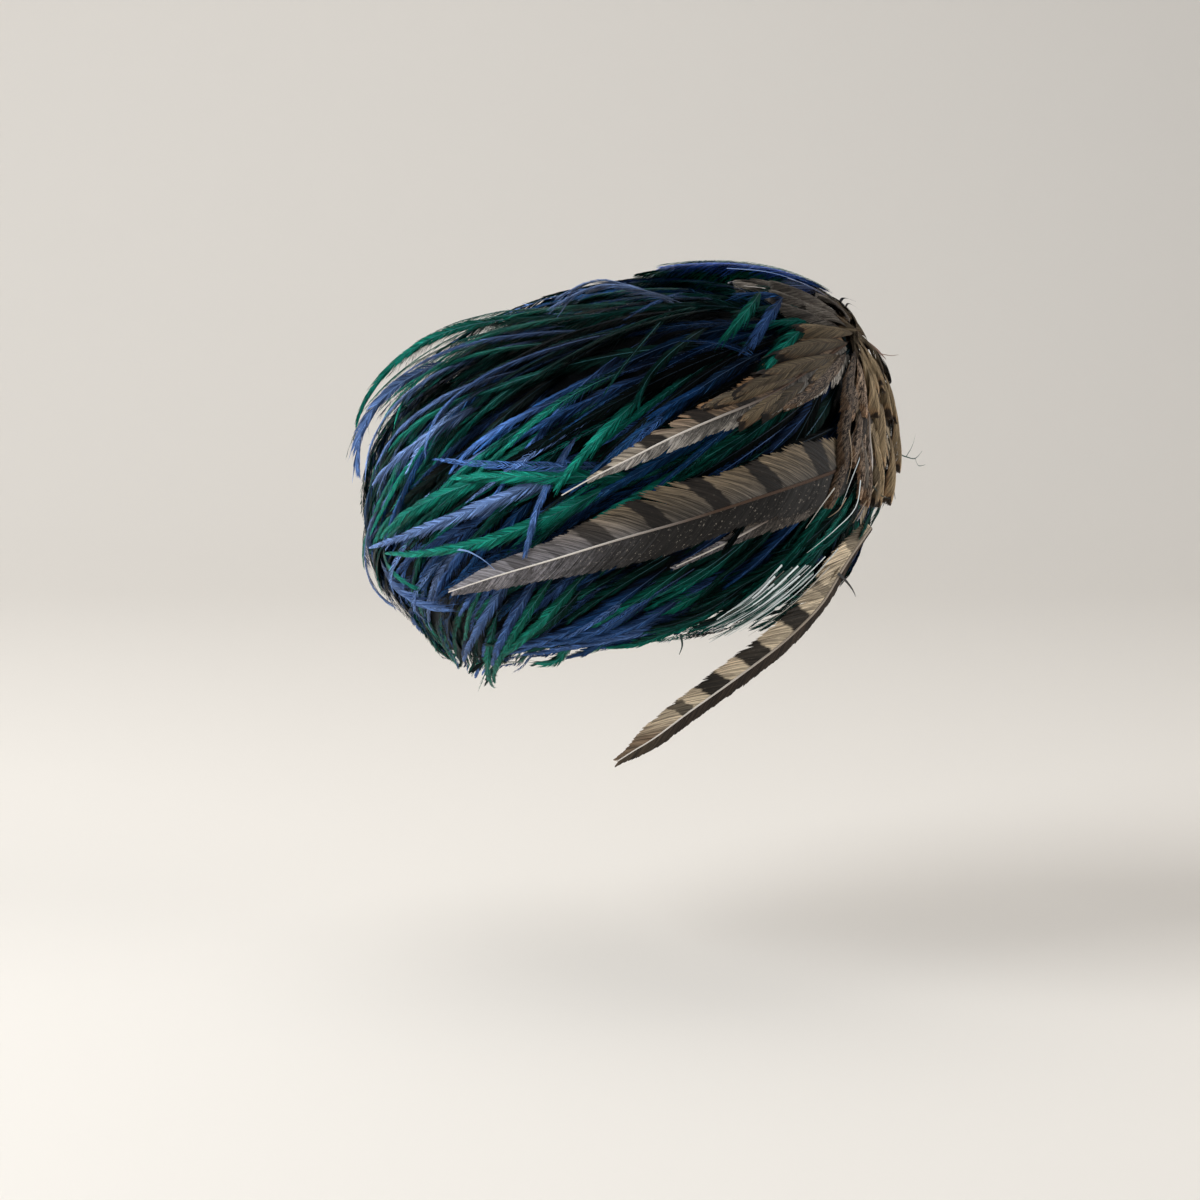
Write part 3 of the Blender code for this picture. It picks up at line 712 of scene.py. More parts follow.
chosenShade = 0.62
chosenHackles = (             # three spots (around, down, lift), half width, tint; any loose, any roll
    ((42, 29, 14), (102, 31, 21), (128, 63, 25), 3.8, 0.46),
    ((57, 30, 14), (102, 38, 20), (107, 63, 21), 4.1, 0.44),
    ((72, 32, 8), (105, 49, 21), (113, 75, 23), 3.8, 0.98),
    ((43, 35, 7), (84, 49, 18), (93, 71, 21), 3.8, 0.88),
    ((61, 56, 7), (77, 65, 16), (87, 75, 19), 3.4, 0.85),
    ((84, 52, 8), (99, 67, 20), (111, 75, 21), 6, 0.97),
    ((86, 48, 9), (92, 64, 22), (97, 74, 23), 4.5, 1.0, True),
    ((84, 46, 7), (98, 59, 18), (107, 67, 20), 4.5, 0.42),
    ((48, 50, 5), (64, 61, 15), (74, 71, 18), 7.5, 0.45, True),
    ((50, 80, 6), (69, 76, 18), (91, 71, 21), 7.5, 0.86, True),
    ((46, 84, 6), (66, 79, 17), (86, 76, 19), 6.8, 0.40),
    ((72, 75, 7), (91, 80, 19), (108, 87, 20), 6.8, 0.47),
    ((58, 76, 7), (83, 84, 18), (116, 89, 18), 6.4, 0.96),
    ((50, 82, 7), (77, 90, 17), (111, 90, 16), 6, 0.46),
    ((60, 68, 7), (68, 85, 16), (73, 95, 17), 3.4, 0.88),
    ((118, 89, 9), (109, 94, 17), (102, 99, 17), 3.4, 0.48),
    ((120, 80, 9), (126, 93, 14), (122, 104, 13), 6, 0.94),
    ((123, 92, 8), (109, 101, 15), (97, 105, 15), 6, 0.92),
    ((76, 96, 7), (90, 110, 13), (108, 122, 11), 4.9, 0.90),
    ((72, 100, 7), (86, 114, 12), (98, 124, 10), 4.5, 0.86),
    ((70, 102, 6), (87, 117, 11), (108, 132, 8), 4.5, 0.44),
    ((88, 110, 5), (100, 124, 10), (112, 134, 8), 3.8, 0.46),
    ((34, 119, 5), (55, 122, 8), (78, 122, 8), 4.9, 0.88),
    ((46, 119, 5), (65, 122, 8), (88, 123, 7), 4.5, 0.84),
    ((62, 102, 6), (78, 114, 11), (94, 122, 10), 4.5, 0.42),
    ((26, 30, 9), (53, 18, 20), (75, 26, 22), 6, 1.0),
    ((12, 22, 9), (34, 31, 15), (48, 38, 16), 5.2, 0.78, True),
    ((20, 40, 6), (39, 53, 13), (46, 65, 14), 4.4, 0.22),
    ((26, 25, 7), (44, 47, 14), (53, 60, 15), 4.4, 0.26, True),
    ((10, 64, 6), (21, 55, 14), (34, 49, 14), 5.2, 0.70, True),
    ((-8, 42, 8), (10, 51, 15), (22, 58, 15), 3.8, 0.74, True),
    ((-8, 50, 8), (7, 57, 15), (17, 64, 15), 6.8, 0.30),
    ((34, 63, 6), (43, 71, 14), (49, 76, 15), 6, 0.80, True),
    ((14, 58, 6), (32, 64, 13), (44, 69, 14), 3.8, 0.68),
    ((-10, 97, 5), (15, 108, 10), (42, 118, 9), 6.8, 0.15),
    ((-12, 100, 5), (4, 108, 10), (30, 116, 9), 6.8, 0.24),
    ((34, 102, 5), (50, 110, 10), (65, 117, 9), 5.2, 0.34),
    ((46, 106, 5), (61, 113, 10), (76, 121, 8), 5.2, 0.72),
    ((42, 58, 6), (55, 72, 15), (64, 82, 16), 5.2, 0.42),
    ((66, 25, 14), (112, 30, 24), (140, 46, 26), 5.0, 0.36),
    ((74, 27, 14), (116, 34, 25), (141, 55, 26), 4.4, 0.42),
    ((56, 26, 12), (106, 31, 22), (140, 52, 25), 4.0, 0.40),
    ((62, 27, 12), (116, 33, 22), (142, 44, 24), 3.4, 0.33),
    ((60, 34, 10), (106, 40, 21), (126, 62, 24), 3.6, 0.90),
    ((70, 36, 9), (100, 44, 20), (119, 58, 22), 3.2, 0.45),
    ((78, 44, 8), (98, 56, 19), (111, 72, 21), 3.6, 0.93),
    ((-4, 100, 5), (12, 113, 10), (30, 127, 8), 4.2, 0.30),
    ((0, 104, 6), (14, 116, 11), (26, 127, 9), 3.6, 0.22),
    ((2, 99, 5), (20, 113, 10), (40, 126, 8), 4.6, 0.26),
    ((22, 112, 4), (38, 120, 8), (58, 125, 7), 4.4, 0.20),
    ((-24, 52, 12), (-4, 47, 16), (16, 44, 16), 5.0, 0.20),
    ((-24, 48, 12), (-6, 43, 17), (10, 38, 17), 5.0, 0.70),
    ((-22, 56, 12), (-2, 52, 16), (14, 50, 16), 5.0, 0.32),
    ((-30, 50, 12), (-18, 44, 16), (-4, 36, 16), 5.0, 0.16),
    ((-14, 86, 7), (-10, 98, 14), (-4, 109, 14), 5.0, 0.24),
    ((-20, 84, 7), (-15, 96, 15), (-9, 107, 14), 5.0, 0.20),
    ((-4, 107, 6), (8, 119, 11), (25, 128, 9), 4.6, 0.26),
    ((-2, 110, 6), (9, 121, 10), (22, 129, 9), 4.0, 0.20),
    ((40, 118, 4), (56, 122, 7), (74, 123, 6), 4.2, 0.86),
    ((58, 117, 4), (74, 121, 7), (92, 122, 6), 4.2, 0.24),
    ((66, 116, 4), (84, 121, 7), (100, 122, 6), 4.2, 0.80),
    ((52, 110, 5), (62, 114, 11), (72, 118, 11), 4.6, 0.88, True),
    ((40, 108, 5), (54, 113, 10), (66, 119, 9), 4.4, 0.84, True),
    ((96, 84, 8), (106, 92, 17), (112, 100, 16), 4.4, 0.95, True),
    ((92, 92, 7), (104, 100, 15), (110, 108, 13), 4.6, 0.93, True),
    ((60, 30, 13), (108, 36, 20), (136, 56, 22), 5.5, 0.38),
    ((70, 32, 13), (114, 40, 20), (138, 64, 21), 5.5, 0.88),
    ((64, 28, 13), (112, 33, 22), (141, 50, 23), 5.0, 0.30),
    ((76, 34, 12), (118, 44, 20), (140, 70, 20), 5.5, 0.42),
    ((58, 112, 4), (74, 118, 9), (92, 119, 9), 5.2, 0.82),
    ((16, 112, 5), (28, 119, 10), (42, 123, 9), 4.6, 0.10),
    ((24, 114, 5), (38, 120, 9), (54, 122, 8), 4.6, 0.22),
    ((50, 113, 4), (66, 119, 9), (84, 120, 8), 5.2, 0.78),
    ((42, 114, 4), (58, 120, 8), (74, 120, 8), 5.0, 0.80),
    ((66, 108, 4), (80, 116, 9), (96, 118, 9), 5.0, 0.20),
    ((20, 110, 4), (36, 118, 9), (52, 121, 8), 5.0, 0.08),
    ((-36, 58, 14), (-22, 62, 17), (-6, 66, 16), 6.0, 0.04),
    ((-34, 64, 14), (-22, 68, 17), (-8, 72, 16), 6.0, 0.05),
    ((-10, 56, 14), (-20, 60, 17), (-32, 66, 15), 6.0, 0.04),
    ((-28, 50, 13), (-20, 56, 16), (-12, 64, 16), 6.5, 0.05),
    ((-34, 54, 13), (-30, 60, 17), (-26, 68, 16), 6.5, 0.04),
    ((-14, 50, 13), (-14, 58, 16), (-14, 68, 17), 6.5, 0.05),
    ((28, 34, 14), (52, 23, 21), (74, 31, 22), 6.0, 0.97),
    ((-36, 62, 12), (-34, 50, 15), (-30, 38, 16), 5.5, 0.05),
    ((-30, 64, 13), (-27, 52, 15), (-20, 40, 16), 5.5, 0.05),
    ((-22, 62, 13), (-16, 52, 15), (-8, 42, 15), 5.5, 0.06),
    ((-18, 62, 13), (-20, 78, 17), (-16, 94, 16), 6.5, 0.04),
    ((-14, 64, 13), (-13, 80, 17), (-11, 98, 16), 6.5, 0.05),
    ((-24, 64, 12), (-26, 80, 16), (-22, 98, 14), 6.0, 0.04),
    ((-20, 68, 13), (-23, 86, 17), (-18, 104, 13), 6.0, 0.05),
    ((92, 32, 22), (118, 42, 28), (118, 64, 29), 3.8, 0.38, False, 1.1),
    ((103, 44, 21), (118, 57, 25), (113, 74, 26), 5.0, 0.93, False, 1.0),
    ((92, 38, 20), (109, 50, 22), (113, 63, 22), 5.0, 0.42),
    ((2, 40, 18), (15, 47, 19), (24, 53, 18), 5.5, 0.42),
    ((-1, 45, 19), (11, 51, 20), (18, 57, 19), 5.0, 0.84),
    ((-2, 55, 18), (8, 58, 19), (17, 64, 18), 6.0, 0.38),
    ((-22, 58, 10), (-12, 46, 11), (0, 34, 11), 6.0, 0.10, False, 1.2),
    ((-14, 58, 10), (-3, 46, 11), (8, 36, 11), 6.0, 0.55, False, 1.2),
    ((-6, 52, 10), (8, 42, 12), (22, 34, 11), 6.0, 0.08, False, 1.1),
    ((-26, 50, 10), (-20, 38, 11), (-12, 26, 11), 6.0, 0.56, False, -1.2),
)


def trackThrough(spots, dented):      # a bend through three spots over the cap, its normals and its length
    share = np.linspace(0, 1, 25)[:, None]
    first, middle, last = np.array(spots, float)
    rows = (first * 2 * (share - 0.5) * (share - 1) + middle * 4 * share * (1 - share)
            + last * 2 * share * (share - 0.5))
    lift = rows[:, 2] - dented * dentAt(rows[:, 0], rows[:, 1])
    track = overCap(rows[:, 0], rows[:, 1], np.maximum(lift, leastLift))
    span = float(np.linalg.norm(np.diff(track, axis=0), axis=1).sum())
    return track, capNormal(rows[:, 0], rows[:, 1]), span


def layFeather(strips, rng, spots, form, dented, **look):
    featherBlade(strips, rng, *trackThrough(spots, dented), dict(form, **look))


def combHackles(rng, batches):        # rows over the whole cap
    roots = hackleRoots(rng)
    count, steps = len(roots), hackles["steps"]
    around, down, rootLift = np.array(roots).T
    length = np.interp(down, *zip(*hackles["length"])) * drawn(rng.uniform, count, *hackles["uneven"])
    toRim = (rimDown - down) * hackles["perDegree"] + drawn(rng.uniform, count, *hackles["fringe"])
    atNape = np.clip(hackles["nape"][0] - hackles["nape"][1] * np.cos(np.radians(around)), 0, 1)
    length = length + (np.minimum(length, toRim) - length) * atNape
    turn = drawn(rng.gauss, count, 0, hackles["stray"])
    slide = drawn(rng.uniform, count, *hackles["rimSlide"])
    most, wide = hackles["frontShort"]                # they end above the rim behind the hanging plume
    slide -= most * np.exp(-(turnFrom(partingHackles["line"], around) / wide) ** 2)
    points, normals = combPaths(around, down, length, steps, turn, slide)
    top = tipLift(*spotUnder(points[:, -1]))
    share = np.linspace(0, 1, steps + 1)
    for i in range(count):
        tip = max(top[i] * rng.uniform(*hackles["tip"]), rootLift[i])
        lift = rootLift[i] + (tip - rootLift[i]) * share ** 0.8
        lift = lift + rng.uniform(*hackles["bow"]) * np.sin(share * math.pi)
        lift = np.maximum(lift - dentAt(*spotUnder(points[i])), leastLift)
        aside = rng.gauss(0, hackles["aside"]) * length[i] * share ** 2
        sides = frameOf(points[i], normals[i])[1]
        track = points[i] + normals[i] * lift[:, None] + sides * aside[:, None]
        look = dict(looseForm if rng.random() < hackles["loose"] else hackleForm, seed=i * noiseStep["rule"])
        look["roll"] = rng.gauss(0, hackles["roll"])
        look["width"] = rng.uniform(*hackles["width"]) * min(1, length[i] / hackles["fullWidth"])
        look["tint"], look["shade"] = tintAt(rng, *spotUnder(points[i, int(steps * 0.6)]))
        featherBlade(batches[i * len(batches) // count], rng, track, normals[i], length[i], look)


def layParting(rng, batches):
    line = partingHackles["line"]
    rootLift, middleLift = partingHackles["lift"]
    for n in range(partingHackles["count"]):
        a = rng.uniform(*partingHackles["around"])
        d = np.interp(rng.random() ** 0.5, (0, 1), partingHackles["down"])     # more of them low down
        out = a + (a - line) * partingHackles["spread"] + rng.uniform(*partingHackles["aside"])
        rim = np.interp(line - out, partingHackles["nearFar"], partingHackles["rim"])
        end = min(rim, d + rng.uniform(*partingHackles["length"]))
        middle = (a + out) / 2, (d + end) / 2
        spots = ((a, d, rootLift), (middle[0] + rng.uniform(-2, 2), middle[1], middleLift),
                 (out, end, rng.uniform(*partingHackles["tipLift"])))
        roll, width = rng.gauss(0, partingHackles["roll"]), rng.uniform(*partingHackles["width"])
        tint, shade = tintAt(rng, *middle)
        layFeather(batches[n % len(batches)], rng, spots, hackleForm, 1.0, roll=roll, width=width, tint=tint,
                   shade=shade, seed=n * noiseStep["parting"])


def makeHackles():
    rng = random.Random(hackles["seed"])
    batches = [Strips() for _ in range(hackles["pieces"])]
    combHackles(rng, batches)
    layParting(rng, batches)
    for n, (*spots, width, tint, loose, roll) in enumerate((*row, 0, 0)[:7] for row in chosenHackles):
        layFeather(batches[-1], rng, spots, looseForm if loose else hackleForm, 1.0, roll=roll, width=width,
                   tint=tint, shade=chosenShade, seed=n * noiseStep["chosen"])
    material = hackleMaterial()
    for n, strips in enumerate(batches):
        strips.piece(f"hackles_{n + 1}", "hackle", material, ("hackle_coat",) if n == 0 else ())


makeHackles()

print("stage 4: crown tuft")

tuft = {
    "seed": 4,
    "each": 15,
    "locks": (                # first and last spot (around, down, lift) and half width, as in the source
        (-33, 55, 19, -50, 10, 18, 7),
        (-30, 54, 19, -10, 6, 16, 8),
        (-36, 54, 19, -80, 14, 16, 8),
        (-31, 49, 21, 30, 8, 19, 7),
    ),
    "reach": (0.75, 1.0),     # how much of the lock's length one feather has
    "aside": 0.8,             # of the half width, to either side
    "sunk": (-0.6, 2.9),      # mm below the lock's top
    "width": (3.5, 6.5),
    "roll": 0.3,
    "tint": 0.98,             # highest on coqueLook's scale
}
tuftForm = dict(hackleForm, bare=0.02, swell=0.2, point=3.0, angle=(0.42, 0.14), barb=0.95, shingle=0.12,
                ruffle=0.08, fray=0.3, step=1.2, cup=0.8, zoned=False)


def makeTuft():
    rng = random.Random(tuft["seed"])
    strips = Strips()
    for a0, d0, lift0, a1, d1, lift1, half in tuft["locks"]:
        first, last = [overCap(np.float64(a), np.float64(d), 0.0) for a, d in ((a0, d0), (a1, d1))]
        beside = unit(np.cross(last - first, (0, 0, 1)))
        for n in range(tuft["each"]):
            share = np.linspace(0, rng.uniform(*tuft["reach"]), 19)[:, None]
            bow = rng.uniform(-tuft["aside"], tuft["aside"]) * half * np.sin(share * 2.4)
            around, down = spotUnder(first + (last - first) * share + beside * bow)
            lift = lift0 + (lift1 - lift0) * share[:, 0] - rng.uniform(*tuft["sunk"])
            track, normals = overCap(around, down, lift), capNormal(around, down)
            length = float(np.linalg.norm(np.diff(track, axis=0), axis=1).sum())
            look = dict(tuftForm, roll=rng.gauss(0, tuft["roll"]), width=rng.uniform(*tuft["width"]),
                        tint=rng.random() * tuft["tint"], shade=rng.random(), seed=n * noiseStep["tuft"])
            featherBlade(strips, rng, track, normals, length, look)
    strips.piece("tuft_blades", "coque", coqueMaterial(), ("crown_tuft",))


makeTuft()

print("stage 5: pheasant plumes")

plumes = {                    # rows as in the source: around, down, lift, right vane, left vane
    "upper": (
        (-17, 62, 15.0, 5, 3), (-9, 63, 15.5, 11, 8), (0, 65, 15.5, 12, 13), (10, 68, 15.0, 12, 10),
        (20, 71, 15.0, 10, 7), (30, 73, 15.0, 8, 6), (40, 75.5, 15.5, 6, 5), (50, 79, 16.0, 3.5, 3),
        (57, 81.5, 16.5, 1.0, 1.0), (63, 84, 17.0, 0.7, 0.7),
    ),
    "middle": (
        (-3, 91.5, 12.5, 12, 7), (5, 92, 13.0, 17, 12), (13, 92.5, 13.0, 19, 13), (28, 93.5, 13.5, 16, 10),
        (40, 94.5, 14.0, 19, 12), (54, 95.5, 14.5, 13, 12), (67, 97, 15.0, 8.5, 8.5), (80, 98.5, 15.5, 6, 6),
        (93, 100.5, 16.0, 1.5, 1.5),
    ),
    "under": (
        (6, 96, 9.5, 4, 5), (13, 97, 9.5, 6, 8), (20, 98.5, 9.5, 7, 6), (32, 102, 9.5, 3, 2),
        (44, 105, 10.0, 0.8, 0.8),
    ),
    "front": (
        (-19, 66, 15.5, 4, 13), (-14, 72, 16.5, 9, 25), (-10, 79, 17.0, 11, 27), (-7, 87, 17.0, 11, 26),
        (-6, 93, 16.5, 9, 23), (-5, 99, 14.0, 5, 15), (-4, 104, 11.5, 1.5, 4),
    ),
    "crown": (
        (-22, 57, 13.0, 5, 5), (-20, 50, 13.0, 9, 9), (-17, 43, 12.5, 9, 9), (-12, 37, 12.5, 6, 6),
        (-4, 32, 12.5, 1.0, 1.0),
    ),
    "lower": (                # around, height, distance out, right vane, left vane, in the worn frame
        (-5, 46, 121, 6, 3), (-2, 35, 117.5, 8, 3), (1, 24, 114.5, 8, 4), (5, 13, 112.5, 8, 3.5),
        (14, -2, 109, 7, 4.5), (27, -19, 104, 7, 4.5), (39, -34, 100, 6.5, 4), (49, -47, 97, 5.5, 3.5),
        (58, -56, 95, 1.5, 1.5),
    ),
}
plumeStops = 161              # points along a plume's spine


def smoothRows(rows, centres, count):   # a smooth curve through the rows, by distance along the plume
    rows = np.array(rows, float)
    reach = np.concatenate(((0,), np.cumsum(np.linalg.norm(np.diff(centres, axis=0), axis=1))))
    slopes = np.gradient(rows, reach, axis=0)
    places = np.linspace(0, reach[-1], count)
    low = np.clip(np.searchsorted(reach, places, "right") - 1, 0, len(reach) - 2)
    gap = (reach[low + 1] - reach[low])[:, None]
    t = (places - reach[low])[:, None] / gap
    fine = ((2 * t ** 3 - 3 * t ** 2 + 1) * rows[low] + (t ** 3 - 2 * t ** 2 + t) * gap * slopes[low]
            + (3 * t ** 2 - 2 * t ** 3) * rows[low + 1] + (t ** 3 - t ** 2) * gap * slopes[low + 1])
    return fine, reach[-1]


def hanging(rows):            # points of rows in the worn frame, and the way they face
    a = np.radians(rows[:, 0])
    facing = np.stack((-np.sin(a), -np.cos(a), np.zeros_like(a)), -1)
    return facing * rows[:, 2:3] + np.stack((0 * a, 0 * a, rows[:, 1]), -1), facing


def plumeTrack(name):         # its rows made fine, its spine, headings, sides and normals, and its length
    table = np.array(plumes[name], float)
    hangs = name == "lower"
    centres = hanging(table)[0] if hangs else overCap(*table[:, :3].T)
    fine, length = smoothRows(table, centres, plumeStops)
    if hangs:
        spine, normals = [part @ worn for part in hanging(fine)]
    else:
        spine, normals = overCap(*fine[:, :3].T), capNormal(fine[:, 0], fine[:, 1])
    return fine, spine, *frameOf(spine, normals), length


def barbGroups(rng, look, count):       # barbs cling together in groups, which part at the edge
    angle, grow, rise, group = np.zeros((4, count))
    n = 0
    while n < count:
        size = int(rng.uniform(*look["group"]) / look["step"]) + 1
        members = slice(n, min(n + size, count))
        span = np.linspace(-1, 1, members.stop - n)
        tilt = rng.gauss(0, look["stray"])
        angle[members] = tilt + span * rng.uniform(0.2, 1.0) * look["cling"]
        grow[members] = rng.uniform(1 - look["ragged"], 1 + look["ragged"] * 0.4)
        rise[members] = rng.uniform(-1, 1) * look["rise"]
        group[members] = rng.random()
        n += size
    return angle, grow, rise, group


def laid(table, at):          # rows of a table at a grid of places
    return sample(table, at.ravel()).reshape(*at.shape, 3)


def makeVane(strips, rng, look, track, edge, sign, below):       # the barbs on one side, one layer of them
    height, spine, headings, sides, ups, length = track
    stops, outs = range(len(spine)), np.array(look["stops"])
    last = len(spine) - 1
    count = int(length / look["step"])
    base = (np.arange(count) + rng.random()) / count * look["vaneTo"]
    angle, grow, rise, group = barbGroups(rng, look, count)
    angle += look["angle"][0] + (look["angle"][1] - look["angle"][0]) * base
    angle += look["rootFan"] * np.exp(-base / look["fanOver"])
    reach = np.interp(base * last, stops, edge) / np.sin(angle)
    for _ in range(3):        # a barb ends further on than it starts, where the vane may be wider
        at = (base * length + reach * np.cos(angle) * 0.9) / length * last
        reach = np.interp(at, stops, edge) / np.sin(angle)
    reach = np.maximum(reach * grow, 0.4) * drawn(rng.uniform, count, *look["uneven"])
    bend = angle[:, None] * (1 + look["curve"] * (0.5 - outs))
    parts = np.diff(outs, prepend=0)
    ahead = np.cumsum(parts * np.cos(bend), 1) * reach[:, None]
    aside = np.cumsum(parts * np.sin(bend), 1) * reach[:, None]
    at = np.clip((base[:, None] * length + ahead) / length * last, 0, last)
    beyond = np.maximum(base[:, None] * length + ahead - length, 0)
    line = (laid(spine, at) + laid(sides, at) * (sign * aside)[..., None]
            + laid(headings, at) * beyond[..., None])
    up = unit(laid(ups, at))
    lift = look["camber"] * (1 - outs ** 1.5) + rise[:, None] * outs + look["above"] - below
    if height is None:        # it hangs free of the cap
        line = line + up * lift[..., None]
    else:
        a, d = spotUnder(line)
        line, up = overCap(a, d, np.interp(at, stops, height) + lift), capNormal(a, d)
    flat, up = frames(line, up)[1:]
    tilt = look["shingle"] + drawn(rng.gauss, count, 0, look["ruffle"])
    across = flat * sign * np.cos(tilt)[:, None, None] + up * np.sin(tilt)[:, None, None]
    half = look["barb"] * np.array(look["taper"]) * np.minimum(1, reach / 3)[:, None] / 2
    out = aside / np.maximum(np.interp(at, stops, edge), 0.5)
    shade = group * 0.6 + drawn(rng.random, count) * 0.4
    strips.add(line, across, half, (base[:, None], out, 0.0 if sign > 0 else 1.0, shade[:, None]),
               (half + 0.001, reach[:, None] * outs, (base * length)[:, None]))


def makePlume(name, look, material, replaced):
    rng = random.Random(look["seed"])
    fine, spine, headings, sides, ups, length = plumeTrack(name)
    stops = len(spine)
    full = np.minimum(1, fine[:, 3] / 4) * np.minimum(1, np.linspace(0, 7, stops))
    spine = spine + sides * (np.linspace(*look["aside"], stops) * full)[:, None]
    track = (None if name == "lower" else fine[:, 2], spine, headings, sides, ups, length)
    strips = Strips()
    for layer in range(look["layers"]):
        for sign, column, key in ((1, 3, "edgeRight"), (-1, 4, "edgeLeft")):
            edge = np.maximum(fine[:, column] + np.linspace(*look[key], stops) * full, 0.3)
            makeVane(strips, rng, look, track, edge, sign, layer * look["below"])
    addQuill(strips, spine, sides, ups, look, length)
    strips.piece("plume_" + name + "_barbs", "pheasant", material, replaced)


def addQuill(strips, spine, sides, ups, look, length):
    share = np.linspace(0, 1, 33)
    place = share * (len(spine) - 1)
    half = np.interp(share, (0, 1), look["quill"]) / 2
    centre = sample(spine, place) + unit(sample(ups, place)) * (look["above"] + look["camber"])
    side, up = unit(sample(sides, place)), unit(sample(ups, place))
    corners = [centre + side * (half * math.cos(a))[:, None] + up * (half * math.sin(a) * 0.8)[:, None]
               for a in np.linspace(0, math.pi, 5)]
    for first, last in zip(corners, corners[1:]):
        strand = (0.0, share * length, share * length)
        strips.addEdges(first[None], last[None], (share, quillMark, 0.0, 0.5), strand)


plumeForm = {
    "layers": 2,
    "below": 0.35,            # mm from one layer to the next
    "step": 0.85,
    "vaneTo": 0.985,
    "group": (4, 11),         # width of a group of barbs along the quill, in mm
    "stray": 0.05,
    "cling": 0.07,            # how far a group fans
    "ragged": 0.10,           # how much longer or shorter groups are
    "uneven": (0.93, 1.05),
    "edgeRight": (0.0, 0.0),  # wider than the solid's vane at root and tip, in mm
    "edgeLeft": (0.0, 0.0),
    "aside": (0.0, 0.0),      # mm the quill lies beside the solid's middle line at root and tip
    "rise": 0.35,
    "angle": (0.75, 0.40),
    "curve": 0.5,
    "rootFan": 1.1,           # how far the first barbs turn out, which rounds the root
    "fanOver": 0.045,         # over how much of the length
    "camber": 0.5,
    "above": 0.3,
    "shingle": 0.2,
    "ruffle": 0.08,
    "barb": 1.05,
    "stops": (0.0, 0.15, 0.35, 0.55, 0.75, 0.9, 1.0),
    "taper": (0.8, 1.0, 1.0, 1.0, 0.9, 0.6, 0.1),
    "quill": (1.7, 0.5),
}
baseLook = {                  # linear colours
    "specular": 0.25,
    "streak": ((1.2, 0.04, 1.0), 3.0, 0.7),       # noises: scales, detail, roughness
    "streakLight": (0.34, 0.66, 0.35, 1.55),
    "blotch": ((0.0, 0.13, 0.16), 3.0, 0.55, 3.0),
    "rightInner": (0.080, 0.070, 0.060),
    "rightOuter": (0.150, 0.110, 0.070),
    "rightTip": (0.230, 0.220, 0.240),
    "leftInner": (0.050, 0.042, 0.036),
    "leftOuter": (0.060, 0.050, 0.042),
    "leftTip": (0.140, 0.130, 0.140),
    "tipFrom": (0.45, 0.80),
    "bars": (),               # for each: mm from the root, half width, how dark right and left
    "bar": (0.008, 0.006, 0.005),
    "barLean": 0.45,          # how far across the barbs the bars run, 0 being along them
    "wander": 3.0,            # mm that their edges wander
    "fleckGrain": ((0.5, 0.55, 0.75), 2.0, 0.7),
    "fleck": (0.42, 0.37, 0.31),
    "fleckFrom": (0.60, 0.70),
    "fleckLeft": 0.5,
    "fleckRight": 0.05,
    "mottleGrain": ((0.35, 0.28, 0.4), 3.0, 0.7, 7.0),
    "mottle": (0.012, 0.010, 0.009),
    "mottleFrom": (0.48, 0.56),
    "mottleLeft": 0.5,
    "mottleRight": 0.1,
    "shaftRoot": (0.055, 0.030, 0.018),
    "shaftTip": (0.60, 0.55, 0.50),
    "shaftFrom": (0.35, 0.75),
    "rough": (0.45, 0.7),
    "bump": 0.5,
}
